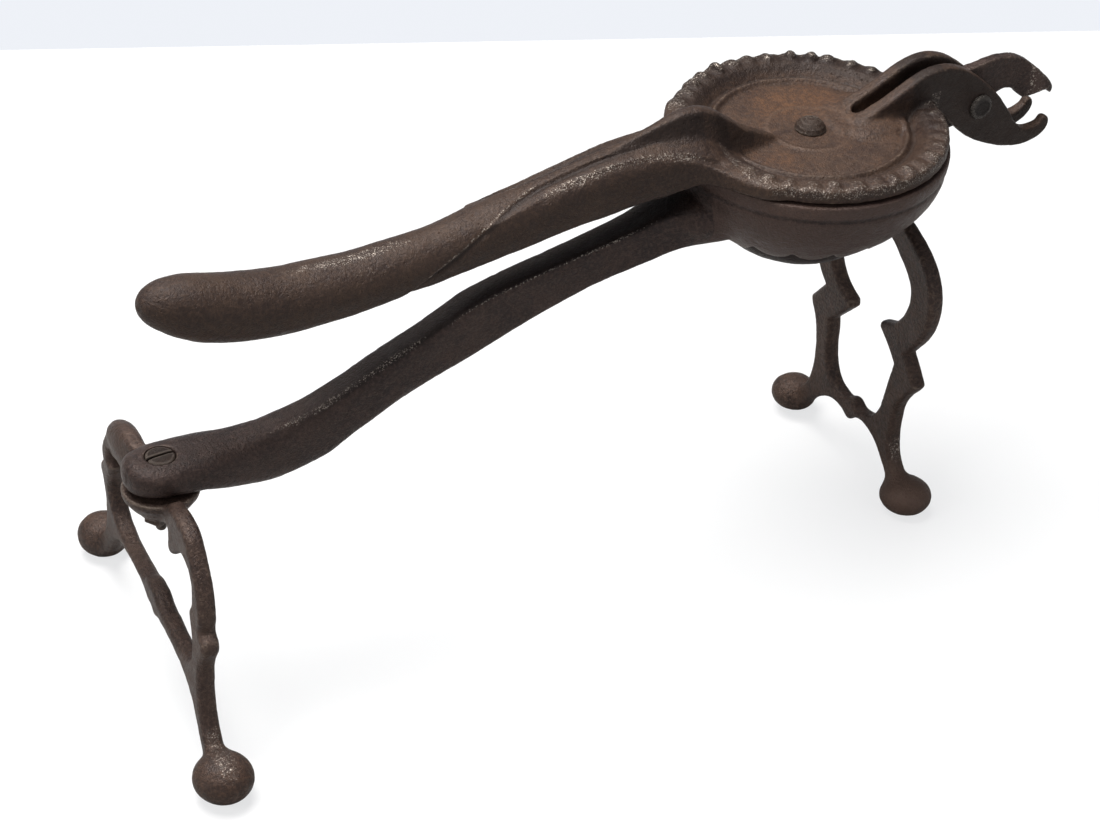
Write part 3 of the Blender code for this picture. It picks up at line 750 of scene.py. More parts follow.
def horseshoe(x, y, z):
    """Low arch that joins the two cheeks."""
    ring = np.maximum(np.abs(dist(x - 20.0, y) - 4.7) - 2.1, x - 21.0)
    top = 145.9 + 0.28 * (x - 14)
    return smax(smax(ring, z - top, 1.2), 142.0 - z, 0.3)


def web(x, y, z):
    return slab(np.maximum(between(x, 8, 42), np.abs(y) - 7.5), np.abs(z - 143.4) - 1.0, 0.8)


def bowl_clearance(x, y, z):
    radius = dist(x, y)
    return np.maximum(z - np.where(radius < 38.6, 140.5, 141.9), radius - 47.0)


def cheek_slot(x, y, z):
    """Slot for the lug, with a round end towards the disc."""
    end = 19.0 - np.sqrt(np.maximum(SLOT_HALF ** 2 - y * y, 0)) - x
    return np.maximum(np.maximum(np.abs(y) - SLOT_HALF, end),
                      np.where(x < 44, 144.0 - z, -9.0))


def hinge_boss(side):
    return lambda x, y, z: slab(dist(x - 63.3, z - 141.6) - 5.4,
                                np.abs(y - side * 6.6) - 0.75, 0.5)


def disc_lever():
    field = Field((-241, -47.5, 116), (99, 47.5, 165), COARSE)
    field.add((-48, -47.5, 138), (48, 47.5, 150.5), disc_plate)
    field.add((-158, -18, 118), (-43, 18, 160), bar(SOCKET))
    field.add((-67, -34, 138), (-30, 34, 154), flare, 3.0)
    field.add((-241, -13, 116), (-66, 13, 157), grip, 0.1)
    field.shift((-152, -12, 118), (-80, 12, 157), leaf_groove)
    field.add((-125, -14, 134), (-12, 14, 165), saddle, 1.0)
    for side in (-1, 1):
        field.add((9, side * 4.7 - 5, 119), (99, side * 4.7 + 5, 161), cheek(side), 0.5)
    field.add((9, -9, 140), (24, 9, 150), horseshoe, 2.2)
    field.add((6, -10, 141), (44, 10, 147), web, 2.5)
    # feet of the cheeks, spread on the disc
    for side in (-1, 1):
        field.add((8, side * 11 - 9, 140), (36, side * 11 + 9, 149),
                  egg((21.0, side * 9.6, 143.2), (9.5, 4.4, 2.5)), 3.0)
    field.cut((-48, -48, 134), (46, 48, 144), bowl_clearance, 0.5)
    field.cut((15, -4, 118), (100, 4, 164), cheek_slot, 0.6)
    for side in (-1, 1):
        field.add((56, side * 7 - 3, 133), (71, side * 7 + 3, 150), hinge_boss(side), 0.9)
    field.cut((59, -12, 137), (69, 12, 147),
              lambda x, y, z: np.maximum(hinge_bore(2.9)(x, y, z), np.abs(y) - 11))
    field.cut((-5, -5, 138), (5, 5, 150), bore(2.7))
    return field


def paint_disc_lever(points, normal, edge):
    x, y, z = points.T
    radius, off = dist(x, y), np.abs(y)
    up, near = unit(normal[:, 2]), normal[:, 1]
    # rubbed line along the top of the grip and band on its near side, bright specks that also
    # stand as painted highlights
    line = bell(x, -168, 24) * bell(y, -1.0, 2.6) * up
    band = bell(x, -165, 18) * bell(y, -6.5, 3.2) * unit(-near) * 0.7
    # edge of the leaf, with worn specks and a painted highlight, and the groove beside it,
    # painted in shade
    around = (np.arctan2(off, z - pchip(GRIP[:, 0], GRIP[:, 1], x))
              - np.radians(pchip(LEAF[:, 0], LEAF[:, 1], x))) * 9.2
    leaf = bell(around, -0.45, 0.55) * ramp(x, -150, -143) * ramp(-x, 96, 110)
    groove = bell(around, 1.0, 0.8) * ramp(x, -150, -143) * ramp(-x, 60, 90)
    # outer edges of the saddle, knobbed rim and middle ridge
    crest_y = pchip([-122, -111, -97, -84, -75, -62, -56, -50, -46],
                    [7.2, 7.0, 5.6, 6.0, 6.6, 8.1, 9.5, 11.2, 12.6], np.clip(x, -122, -46))
    crest = (bell(off, crest_y + 0.3, 1.9) * (0.55 + 0.6 * noise(points, 5, 77))
             * ramp(x, -120, -108) * ramp(-x, 44, 52) * ramp(z, 144.5, 147)
             * (normal[:, 2] > 0.1))
    rim_side = 0.8 * ramp(radius, 42.5, 44.0) * ramp(z, 143.0, 144.5) * (normal[:, 2] > -0.1)
    rim = (ramp(radius, 35.5, 38.5) * np.maximum(ramp(z, 146.6, 148.2) * up, rim_side)
           * (x > -40) * (radius < 47) * (z < 151))
    ridge = bell(x, -42, 13) * bell(y, 0, 3.6) * (z > 155) * up
    # bright specks: worn, polished spots, which on the up-facing ridges and rim also stand as
    # painted glints
    speck = unit(line + 0.75 * band + 0.85 * leaf + 0.80 * crest + 0.82 * rim
                 + 0.65 * ridge * (y < -5) * (0.35 + 0.65 * noise(points, 9, 5))
                 + 0.18 * rim * (y > 5) * (x < -5) * noise(points, 6, 15))
    # rusty floor of the disc, with three warmer patches
    floor = ramp(radius, 34, 28) * ramp(z, 149, 145.5) * (np.abs(z - DISC_Z) < 5)
    warm = (bell(x, 6, 16) * bell(y, 16, 12) + 0.8 * bell(x, 34, 7) * bell(y, -14, 12)
            + 0.55 * bell(x, -18, 6) * bell(y, -12, 5))
    rust = unit(floor * (0.30 + 0.55 * warm)
                + 0.25 * ramp(radius, 46, 40) * (z > 143) * (z < 149)) * (radius < 46)
    ring = bell(radius, 14.0, 0.7) * (z > 143) * (z < 146)
    # near-facing sides of the saddle and ridge: painted shade
    face = (x > -80) * (x < -24) * (off < 6.5) * ramp(-near, 0.35, 0.7) * (z > 145)
    # near face of the ridge top: painted light
    ridge_face_light = bell(x, -34, 15) * bell(y, 0, 3.2) * (z > 150) * unit(-near * 1.3)
    dark_rim = ((0.25 + 0.65 * ramp(y, -32, -10)) * ramp(radius, 34.5, 37.5) * (z > 143)
                * ramp(x, -42, -34) * (radius < 47))
    # sides of the cheeks: painted shade
    cheeks = (x > 38) * ramp(np.abs(near), 0.5, 0.8) * (z > 118)
    # tone: painted light on the disc's upward faces, the ridge face and the leaf edge, painted
    # shade on the saddle's near sides, in the leaf groove and on the cheeks' sides; the other
    # terms set the ring, the rim, the handle and the tops beyond the disc lighter and darker
    tone = (np.clip(0.22 * up * (z > 143) * (radius < 46) + 0.5 * ring, -1, 1)
            - 0.7 * face - 0.8 * groove + 0.20 * leaf - 0.35 * (x < -45) + 0.45 * ridge_face_light
            - dark_rim - 0.85 * cheeks - 0.20 * (x > 14) * (z > 147))
    return {"speck": speck, "rust": rust, "tone": tone}


cast("disc_lever", "disc_lever", IRON_DISC, disc_lever(),
     grain=1.0, seed=3, paint=paint_disc_lever)


# ---------------------------------------------------------------- bowl lever
# bar stations: x, middle z, half width, half height, superellipse power
HANDLE = np.array([
    (-242.6, 78, 1.2, 1.6, 2.2), (-241.8, 78, 4.3, 4, 2.2), (-239, 77.9, 7.9, 5.4, 2.4),
    (-234.8, 77.6, 9.8, 5.6, 2.7), (-230.6, 77.6, 10.5, 5.7, 2.8),
    (-224.4, 77.2, 10.5, 6.2, 2.8), (-217, 76.6, 10.2, 6.9, 2.8), (-207, 75.2, 9, 8, 2.8),
    (-197, 74.7, 8, 9.2, 2.9), (-188, 75.9, 7.2, 9.7, 3.1), (-178, 78.4, 6.6, 9.6, 3.4),
    (-166, 84, 6.1, 8.5, 3.7), (-152, 90.9, 5.8, 8.5, 4), (-141, 95.5, 5.5, 8.7, 4.3),
    (-134, 98.5, 5.4, 8.8, 5.4), (-124, 102.6, 5.4, 9.2, 7), (-110, 107.2, 5.4, 8.6, 7),
    (-96, 111.1, 5.4, 7.7, 7), (-81, 114.9, 5.6, 7.1, 7), (-66, 118.2, 6.4, 7.1, 7),
    (-54, 121.5, 8.1, 7.4, 5.8), (-44, 122.8, 11.5, 7.3, 4), (-34, 123.2, 15, 7.6, 2.8)], float)
# side view of the lug: x, z
LUG = outline([
    (37, 119), (42, 121.5), (47, 125), (52, 129.2), (57, 131.8), (61, 132),
    (66, 133.2), (70, 136.4), (74, 140.6), (77.6, 142), (80, 141.8), (82.6, 140.5),
    (85, 138.1), (86.6, 136.9, 1), (89.4, 137.4), (92.4, 138.3), (95, 138.7), (96.6, 137.5),
    (97.7, 136.8, 1), (98.3, 138.6), (96.8, 141.4), (93, 145.4), (89.2, 148.8), (85.6, 151.5),
    (81.8, 153.4), (77, 154.4), (70.6, 154.4), (65.4, 153.6), (60.8, 152.8), (56.4, 150.6),
    (52.4, 147.2), (49.2, 143.2), (47.2, 140.6), (43, 139), (38, 136)])
# bracket for the front trestle: radius, z
BRACKET = [(0, 126.0), (9.6, 126.0), (8.8, 116.0), (7.9, 110.4), (7.4, 108.8), (0, 108.8)]


def petal_hem(x, y):
    """Height of the scalloped lower edge of the bowl's outer skin."""
    wave = np.abs(np.sin((np.arctan2(y, x) + math.radians(128)) * 9))
    return 118.8 - 4.8 * wave ** 0.75


def bowl_outside(x, y, z):
    radius = dist(x, y)
    # the bottom hangs a little deeper towards the handle
    depth = LIP_Z - (z - 0.06 * x * ramp(LIP_Z - z, 4.0, 30.0))
    size = (np.abs(radius / 46.5) ** 1.9 + np.clip(depth / 37.6, 0, 9) ** 1.9
            + 1e-9) ** (1 / 1.9)
    body = dist(radius, depth) * (1 - 1 / np.maximum(size, 1e-3))
    # petals: an outer skin whose lower edge runs in scallops
    hem = petal_hem(x, y)
    skin = 2.1 * ramp(z, hem - 0.3, hem + 0.3)
    body = body + 1.5 - skin * (0.35 + 0.65 * ramp(z, 137, 126)) - 0.70 * ramp(z, 126, 137)
    body = np.minimum(body, egg((-2.0, 0, 112.0), (26.4, 26.4, 11.0))(x, y, z))
    body = smax(body, radius - 46.6, 1.0)
    # groove under the lip
    body = body + 0.50 * bell(z, 135.6, 0.8)
    return smax(body, z - 141.2, 0.8)


def bowl_cavity(x, y, z):
    radius, depth = dist(x, y), np.clip(141.2 - z, 0, 99)
    size = dist(radius / 41.0, depth / 31.4) + 1e-6
    return dist(radius, depth) * (1 - 1 / size)


def lug(x, y, z):
    half = along(x, [36, 46, 52, 83, 87, 91, 95, 98, 100],
                 [3.4, 2.2, 2.0, 2.0, 2.5, 3.5, 3.9, 3.2, 2.4])
    return np.maximum(slab(poly_xz(x, z, LUG), np.abs(y) - half, 0.6), 42.6 - dist(x, y))


def rear_screw_hole(x, y, z):
    """Bore with a counterbore from above."""
    off = dist(x - REAR_SCREW_X, y)
    return np.minimum(off - 2.6, np.maximum(off - 4.85, 81.2 - z))


def bowl_lever():
    field = Field((-246.5, -49, 60.5), (101.5, 49, 157), COARSE)
    field.add((-49, -49, 97), (49, 49, 143), bowl_outside)
    field.add((-246, -19, 61), (-33, 19, 134), bar(HANDLE))
    field.add((-60, -22, 106), (-18, 22, 136), egg((-40.0, 0, 124.6), (15.0, 14.5, 8.4)), 4.0)
    field.add((22, -13, 106), (48, 13, 130),
              lambda x, y, z: turned(BRACKET)(x - FRONT_X, y, z), 3.0)
    field.cut((-44, -44, 104), (44, 44, 143), bowl_cavity, 0.9)
    field.add((36, -8, 116), (101, 8, 157), lug, 1.2)
    field.cut((59, -6, 137), (69, 6, 147), hinge_bore(2.8))
    field.cut((30, -5, 105), (40, 5, 117),
              lambda x, y, z: np.maximum(bore(2.6, FRONT_X)(x, y, z), z - 116))
    field.cut((-238, -7, 70), (-225, 7, 90), rear_screw_hole)
    # the flat seat over the rear trestle
    field.cut((-246, -14, 62), (-204, 14, 75),
              lambda x, y, z: z - 72.15 + 0.42 * np.maximum(x + 219.2, 0), 0.6)
    return field


def paint_bowl_lever(points, normal, edge):
    x, y, z = points.T
    radius, facing_up = dist(x, y), normal[:, 2]
    sharp = unit(edge)
    top_edge = (bell(np.abs(y), 5.1, 0.7) * (x > -135) * (x < -50)
                * ramp(facing_up, 0.2, 0.6) * ramp(facing_up, 0.98, 0.8))
    ridge = bell(y, -4.2, 1.4) * ramp(x, -205, -185) * ramp(-x, 136, 145) * unit(facing_up)
    speck = unit(0.95 * top_edge + 0.80 * ridge * (0.5 + noise(points, 7, 9))
                 + 0.55 * sharp * (radius < 47) * (z > 112) * (z < 121)
                 + 0.35 * sharp * (x > 84))
    # the bowl: below its petals (painted shade), their brim, and its lip
    hem = petal_hem(x, y)
    below = ramp(hem - z, 0.0, 0.8) * (radius < 42) * (z > 98) * (facing_up < 0.3)
    brim = bell(z, hem + 0.5, 0.8) * (radius < 44) * (radius > 24)
    lip = ramp(z, 135.8, 137.0) * (radius < 47) * (radius > 41)
    bowl = (radius < 47) * (z < 135) * (x < 44) * (x > -44)
    # top of the handle darker: its dark patina, and the painted shadow of the disc lever above
    handle_top_shade_and_patina = ramp(x, -205, -160) * ramp(-x, 46, 54) * ramp(facing_up, 0.35, 0.7)
    # tone: painted shade under the petals and on the up-facing top of the pad, and a painted
    # highlight on the jaw
    tone = np.clip(0.75 * lip + 0.62 * bowl - 0.95 * handle_top_shade_and_patina - 1.5 * below
                   # up-facing top of the pad: painted shade
                   - 0.35 * (x < -212) * ramp(facing_up, 0.6, 0.95) + 0.5 * brim
                   + 0.8 * bell(x, 91.0, 3.2) * (z > 136) * (y < 0.5), -1, 1)
    # the jaw: a painted highlight on its near face, in tone and in bright specks
    jaw_glint = (z > 136) * (y < 0)
    speck = unit(speck + 0.35 * brim + 0.7 * bell(x, 88.6, 1.1) * jaw_glint
                 + 0.45 * bell(x, 92.0, 3.0) * jaw_glint)
    rust = unit(0.50 * lip * noise(points, 8, 21)
                + 0.42 * (x > -44) * (x < 46) * noise(points, 14, 5))
    return {"speck": speck, "rust": rust, "tone": tone}


cast("bowl_lever", "bowl_lever", IRON, bowl_lever(),
     grain=1.0, seed=8, paint=paint_bowl_lever)


# ------------------------------------------------------------------ trestles
# Half outlines, from the top of the middle round to the bottom: distance from
# the middle, z.  The far (+Y) and near (-Y) halves share some stretches.
FRONT_CROWN = [(0, 108.5), (6.6, 108.5), (10.6, 108.2)]
FRONT_LEG = [
    (25.2, 39), (24.3, 31.4), (24.7, 24), (26.6, 18), (30, 13.6), (34, 9), (30, 4.6),
    (26.6, 7.4), (22.4, 12.4)]
FRONT_FAR = FRONT_CROWN + [
    (14.8, 106.8), (20.9, 103.2), (27.2, 98), (31.8, 91.8), (34.1, 84.5), (33.6, 76.5),
    (31, 69.5), (27.6, 64.4), (24, 61, 1), (27.4, 56.6), (30.8, 52.4, 1), (30.2, 50.4),
    (27.4, 46)] + FRONT_LEG + [
    (18.6, 15.7), (13.6, 18.9), (8.4, 20), (4.4, 19.4), (1.6, 17.9), (0, 17.7)]
FRONT_NEAR = FRONT_CROWN + [
    (14.9, 107), (21.5, 103.8), (28.1, 98.8), (32.6, 92.3), (34.8, 84.7), (34.3, 76.6),
    (31.4, 69.3), (27.8, 64.2), (25.3, 60.8, 1), (29.4, 56), (33.1, 51.4, 1), (31.8, 49.2),
    (28.4, 45)] + FRONT_LEG + [
    (18.6, 16.4), (13.6, 20), (8.4, 21.4), (4.4, 20.8), (1.6, 19.2), (0, 19)]
FRONT_HOLE_TOP = [(0, 99.3), (5.6, 99.2), (9.1, 98)]
FRONT_HOLE_BOTTOM = [
    (16.8, 39.3), (16, 34.2, 1), (14.4, 30.4), (11.6, 26.8), (8, 25.2), (3.8, 24.8),
    (1.6, 26), (0, 26.4)]
FRONT_HOLE_FAR = FRONT_HOLE_TOP + [
    (15.2, 95.1), (20, 91.5), (23, 86.4), (23.1, 81.4), (21.7, 74.6), (19.4, 70),
    (15.2, 65.8), (8.2, 62.5, 1), (7.8, 60, 1), (13.4, 54.1), (17.8, 49.3, 1),
    (17, 45)] + FRONT_HOLE_BOTTOM
FRONT_HOLE_NEAR = FRONT_HOLE_TOP + [
    (14.2, 93.8), (18.3, 90.2), (21.6, 85.8), (22.4, 81.2), (21.1, 75.8), (18.8, 71.5),
    (15.4, 67.9), (9.1, 64.9, 1), (9, 62.9, 1), (14.9, 58.4), (19.4, 53.8, 1),
    (18.2, 47.2)] + FRONT_HOLE_BOTTOM

REAR_CROWN = [(0, 68), (8, 69.4), (13, 74), (19, 76.6), (26, 77.2)]
REAR_LEG = [
    (47.4, 37.6), (48, 31), (49.4, 24.6), (52.4, 18.2), (56.8, 13.4), (63, 9), (58, 5),
    (52, 8.4), (46.6, 15)]
REAR_FAR = REAR_CROWN + [
    (33, 75.6), (39.6, 71.6), (44.8, 65.8), (47.8, 59.6), (48.2, 54.4), (47.3, 51.4),
    (50, 49.6), (50.6, 46.6), (48.5, 42.8)] + REAR_LEG + [
    (41.2, 21.4), (34, 25.6), (25, 27.2), (15, 27.6), (7.6, 27), (3.4, 25.4), (0, 25.2)]
REAR_NEAR = REAR_CROWN + [
    (32.6, 75.4), (37.8, 70), (42.8, 63.9), (46.2, 57.4), (47.6, 52), (47.2, 48.9),
    (49.9, 47), (50.5, 43.8), (48.5, 40.4)] + REAR_LEG + [
    (41.6, 20.6), (34.4, 24.2), (25.6, 25.6), (15, 25.8), (7.6, 25.2), (3.4, 23.9), (0, 23.9)]
REAR_HOLE_BOTTOM = [
    (38.8, 34.4), (33, 31.6), (25, 30.8), (15, 31.4), (7.6, 32), (3.4, 33.6), (0, 33.8)]
REAR_HOLE_FAR = [
    (0, 63), (8, 63.6), (13.4, 66.6), (16.6, 63.8), (20.4, 62.4), (24.4, 64.6), (29.6, 67),
    (35, 66.6), (39.8, 63.4), (42.2, 58.8), (42, 55), (39.6, 52.6, 1), (40.2, 49.8),
    (41.8, 45), (41.6, 39.4)] + REAR_HOLE_BOTTOM
REAR_HOLE_NEAR = [
    (0, 63), (8, 63.3), (12.6, 65), (15.6, 61.4), (19.4, 59.4), (23, 62.2), (28, 65.6),
    (33.2, 65), (36.6, 62.4), (38.3, 58.2), (38.2, 54), (36.6, 51.2, 1), (37.2, 48.4),
    (39, 44), (39.8, 38.8)] + REAR_HOLE_BOTTOM
# plate behind the far knuckle of the rear trestle: y, z
KNUCKLE = outline([
    (21, 60), (25, 66.5), (31, 69), (37, 68), (42, 62.5), (39, 60.5), (32, 61.5), (26, 60.5)])
# turned seats on top of the trestles: radius, z
FRONT_SEAT = [(0, 108.5), (6.9, 108.5), (7.2, 108.2), (7.0, 105.5), (5.8, 102.5),
              (5.4, 99.0), (0, 99.0)]
REAR_SEAT = [(0, 71.8), (11.8, 71.8), (12.3, 71.2), (12.0, 69.4), (9.9, 66.2), (7.1, 63.6),
             (6.4, 62.4), (0, 62.4)]


def joined(far, near):
    """One closed outline from its far half and its near half."""
    other = [(-point[0], *point[1:]) for point in reversed(near) if abs(point[0]) > 1e-6]
    return outline(far + other)


def trestle(outer, hole, foot, half, radius, high, balls):
    """A trestle in its own frame: X is its thickness, Y runs foot to foot.

    foot is the reach of the feet, half the half thickness, radius the rounding
    of the edges, and balls the (centre, radii) of the feet.
    """
    field = Field((-14.5, -foot - 11, -1.2), (14.5, foot + 11, high), MEDIUM)

    def plate(x, y, z):
        flat = np.maximum(poly_yz(y, z, outer), -poly_yz(y, z, hole))
        return slab(flat, np.abs(x) - half, radius)
    field.add((-half - 3, -foot - 11, -1), (half + 3, foot + 11, high), plate)
    for centre, radii in balls:
        field.add((-13, centre[1] - 15, -1), (13, centre[1] + 15, 20), egg(centre, radii), 2.6)
    return field


def flat_feet(field, foot):
    field.cut((-20, -foot - 20, -2), (20, foot + 20, 1.5), lambda x, y, z: z - 0.02)


def front_legs():
    foot = 34.8
    field = trestle(joined(FRONT_FAR, FRONT_NEAR), joined(FRONT_HOLE_FAR, FRONT_HOLE_NEAR),
                    foot, half=2.9, radius=1.9, high=110,
                    balls=(((0.0, 35.6, 7.0), (8.3, 8.3, 6.2)),
                           ((0.6, -33.9, 6.5), (9.1, 9.1, 6.2))))
    field.add((-10, -12, 96), (10, 12, 109), turned(FRONT_SEAT), 1.5)
    field.cut((-4, -4, 96), (4, 4, 110), bore(2.6))
    flat_feet(field, foot)
    return field


def rear_legs():
    foot = 64.2
    field = trestle(joined(REAR_FAR, REAR_NEAR), joined(REAR_HOLE_FAR, REAR_HOLE_NEAR),
                    foot, half=3.0, radius=2.1, high=80,
                    balls=(((0.3, 63.6, 7.2), (8.8, 8.8, 7.3)),
                           ((0.0, -64.2, 7.2), (9.5, 9.5, 7.5))))
    # the far knuckle is heavier than the near one
    field.add((-5, 18, 55), (5, 45, 73),
              lambda x, y, z: slab(poly_yz(y, z, KNUCKLE), np.abs(x) - 2.6, 1.6), 1.5)
    field.add((-7, 18, 60), (7, 46, 80), egg((0, 30.0, 70.0), (4.6, 12.0, 6.4)), 2.5)
    field.add((-14, -14, 60), (14, 14, 73.5), turned(REAR_SEAT), 1.4)
    field.cut((-14, -14, 71.8), (14, 14, 81),
              lambda x, y, z: np.maximum(71.85 - z, dist(x, y) - 12.6), 0.4)
    field.cut((-4, -4, 58), (4, 4, 75), bore(2.6))
    flat_feet(field, foot)
    return field


def leaned(points):
    """The front trestle leans forward by about a degree."""
    x, y, z = points.T
    lean = 0.9 * (z - 8.0) / 70.0 * ramp(z, 0.0, 8.0) * ramp(-z, -108.0, -90.0)
    return np.stack([x + lean, y, z], 1)


def twisted(points):
    """The rear trestle is cast with a slight twist from its feet up."""
    x, y, z = points.T
    turn = -np.radians(6.5 - 2.9 * ramp(z, 20, 70))
    far = ramp(z, 50, 66) * ramp(y, 12, 26)
    z = z - 1.2 * far
    y = y * (1 - 0.042 * ramp(z, 38, 54)) - 1.4 * far
    x = x + 1.2 * ramp(z, 60, 64) * ramp(-dist(x, y), -19, -14)
    return np.stack([x * np.cos(turn) - y * np.sin(turn),
                     x * np.sin(turn) + y * np.cos(turn), z], 1)


def off_floor(points):
    """Keeps the grain off the soles of the feet."""
    return ramp(points[:, 2], 0.05, 1.0)


def paint_front(points, normal, edge):
    x, y, z = points.T
    # near feet painted lighter, painted light where the bowl's shadow falls on them; far feet a
    # little darker
    return {"speck": unit(0.85 * bell(z, 21, 6) * unit(-normal[:, 1]) * (y < -20)
                          + 0.35 * unit(edge) * (z > 70)),
            "rust": 0.25 * noise(points, 12, 3) * ramp(z, 60, 10) + 0.35 * ramp(z, 20, 12),
            "tone": ramp(z, 22, 12) * np.where(y < 0, 1.0, -0.10)}


def paint_rear(points, normal, edge):
    x, y, z = points.T
    return {"speck": unit(0.62 * bell(z, 15, 5) * (y < -40) * unit(normal[:, 2] + 0.2)
                          * bell(x, 0, 5) + 0.18 * unit(edge)),
            "rust": 0.28 * noise(points, 10, 13) + 0.40 * ramp(z, 20, 12),
            "tone": 0.12 - 0.40 * ramp(z, 22, 12)}


cast("front_legs", "bowl_lever", IRON_LEGS, front_legs(), grain=0.9, seed=21,
     paint=paint_front, place=(FRONT_X, 0, 0), guard=off_floor, bend=leaned)
cast("rear_legs", "bowl_lever", IRON_LEGS, rear_legs(), grain=0.9, seed=33,
     paint=paint_rear, place=(REAR_X, 0, 0), guard=off_floor, bend=twisted)


# ------------------------------------------------------ rivet, screws, presser
# turned outlines: radius, z from the part's own origin
PRESSER_SCREW = [
    (0, 4.2), (1.6, 4.05), (3.2, 3.4), (4.5, 2.2), (5.2, 0.9), (5.3, 0.3), (2.3, 0.3),
    (2.3, -12.0), (0, -12.4)]
REAR_SCREW = [
    (0, 0.85), (2.6, 0.8), (4.2, 0.62), (4.65, 0.2), (4.65, -1.0), (2.3, -1.1),
    (1.7, -12.0), (1.7, -26.6), (1.4, -27.2), (0, -27.2)]
FRONT_SCREW = [
    (0, 5.6), (2.3, 5.4), (2.3, -11.3), (4.6, -11.3), (4.8, -12.4), (4.2, -13.4),
    (2.6, -13.9), (0, -14.0)]
# stepped underside of the presser: radius, depth below its top
PRESSER = [
    (0, 0), (25.0, 0), (26.0, 1.0), (26.0, 4.0), (24.0, 7.5), (20.5, 9.6), (19.6, 8.6),
    (18.4, 10.4), (15.6, 11.4), (14.6, 10.4), (13.4, 12.0), (10.4, 12.6), (9.4, 11.6),
    (8.2, 13.0), (0, 13.4)]


def light_grain(points):
    return np.full(len(points), 0.35)


def paint_rivet(points, normal, edge):
    x, y, z = points.T
    radius, head = dist(x, z), np.abs(y) > 7
    # a bright crescent on one side of each head's edge: a painted highlight; the middle of each
    # head darker
    return {"speck": 0.95 * bell(radius, 4.05, 0.35) * head * ramp(x * 0.8 - z * 0.6, 0.5, 3.0),
            "tone": -0.6 * (radius < 3.6) * head}


def paint_screw(points, normal, edge):
    above = points[:, 2] > 0
    return {"speck": 0.22 * np.clip(edge, 0, 1.5) * above, "tone": -0.35 * above,
            "rust": 0.6 * noise(points, 4, 61)}


def paint_flush_screw(points, normal, edge):
    return {"speck": 0.15 * np.clip(edge, 0, 1.5), "tone": np.full(len(points), -1.0),
            "rust": 0.7 * noise(points, 4, 62)}


def rivet(x, y, z):
    """A shank with a peened head at each end: a low dome with a dished middle."""
    radius, out = dist(x, z), np.abs(y)
    shank = np.maximum(radius - 2.5, out - 8.0)
    dome = 8.85 + 0.25 * bell(radius, 3.2, 0.8) - 0.012 * radius ** 2
    head = smax(smax(radius - 4.3, out - dome, 0.5), 7.45 - out, 0.1)
    return np.minimum(shank, head)


def square_nut(x, y, z):
    turn = math.radians(32)
    across = x * math.cos(turn) + y * math.sin(turn)
    other = -x * math.sin(turn) + y * math.cos(turn)
    flat = np.maximum(np.abs(across), np.abs(other)) - 2.9
    return slab(flat, np.abs(z - 0.3) - 1.7, 0.35)


field = Field((-6, -10.5, -6), (6, 10.5, 6), FINE, rivet)
cast("hinge_pin", "bowl_lever", STEEL, field, grain=0.5, seed=5,
     paint=paint_rivet, place=(HINGE[0], 0, HINGE[1]), guard=light_grain)

field = Field((-6, -6, -14.5), (6, 6, 4.5), FINE, turned(PRESSER_SCREW), 0.2)
field.cut((-6, -6, 0), (6, 6, 4.5),
          driver_slot(math.radians(-40), half=0.42, bottom=2.9, offset=1.4), 0.15)
cast("presser_screw", "disc_lever", SCREW, field, grain=0.6, seed=6,
     paint=paint_screw, place=(0, 0, DISC_Z), guard=light_grain)

field = Field((-6, -6, -29), (6, 6, 2.5), FINE, turned(REAR_SCREW), 0.15)
field.cut((-6, -6, -1.0), (6, 6, 2.5),
          driver_slot(math.radians(4), half=0.5, bottom=-0.6), 0.12)
cast("rear_leg_screw", "bowl_lever", SCREW, field, grain=0.6, seed=16,
     paint=paint_flush_screw, place=(REAR_SCREW_X, 0, 82.5), guard=light_grain)

field = Field((-6, -6, -3.5), (6, 6, 3.5), FINE, square_nut)
field.cut((-6, -6, -3.5), (6, 6, 3.5), bore(1.9), 0.1)
cast("rear_leg_nut", "bowl_lever", SCREW, field, grain=0.8, seed=26,
     paint=paint_screw, place=(REAR_X, 0, 59.9), guard=light_grain)

field = Field((-6, -6, -14), (6, 6, 6.5), FINE, turned(FRONT_SCREW), 0.15)
field.cut((-6, -6, -14), (6, 6, -11),
          driver_slot(0.6, half=0.55, bottom=-13.2, facing=-1), 0.12)
cast("front_leg_screw", "bowl_lever", SCREW, field, grain=0.6, seed=36,
     paint=paint_screw, place=(FRONT_X, 0, 110.0), guard=light_grain)

field = Field((-27.5, -27.5, 126), (27.5, 27.5, 141), MEDIUM,
              turned([(radius, PRESSER_TOP - depth) for radius, depth in PRESSER]))
field.cut((-4, -4, 129.5), (4, 4, 142),
          lambda x, y, z: np.maximum(dist(x, y) - 2.6, PRESSER_TOP - 9.5 - z))
cast("presser", "disc_lever", IRON, field, grain=0.6, seed=46,
     guard=lambda points: np.where(points[:, 2] > PRESSER_TOP - 0.6, 0.0, 1.0))


# ------------------------------------------- stage, lights and camera (metres)
def stage_material(name, colour, roughness, specular, glow):
    mat = bpy.data.materials.new(name)
    mat.use_nodes = True
    shader = mat.node_tree.nodes["Principled BSDF"]
    shader.inputs["Base Color"].default_value = (*colour, 1)
    shader.inputs["Roughness"].default_value = roughness
    shader.inputs["Specular IOR Level"].default_value = specular
    shader.inputs["Emission Color"].default_value = (*glow, 1)
    return mat, shader


def sheet(name, corners, height, mat):
    mesh = bpy.data.meshes.new(name)
    vertices = [(float(x), float(y), height) for x, y in corners]
    mesh.from_pydata(vertices, [], [tuple(range(len(vertices)))])
    obj = bpy.data.objects.new(name, mesh)
    obj.data.materials.append(mat)
    bpy.context.scene.collection.objects.link(obj)


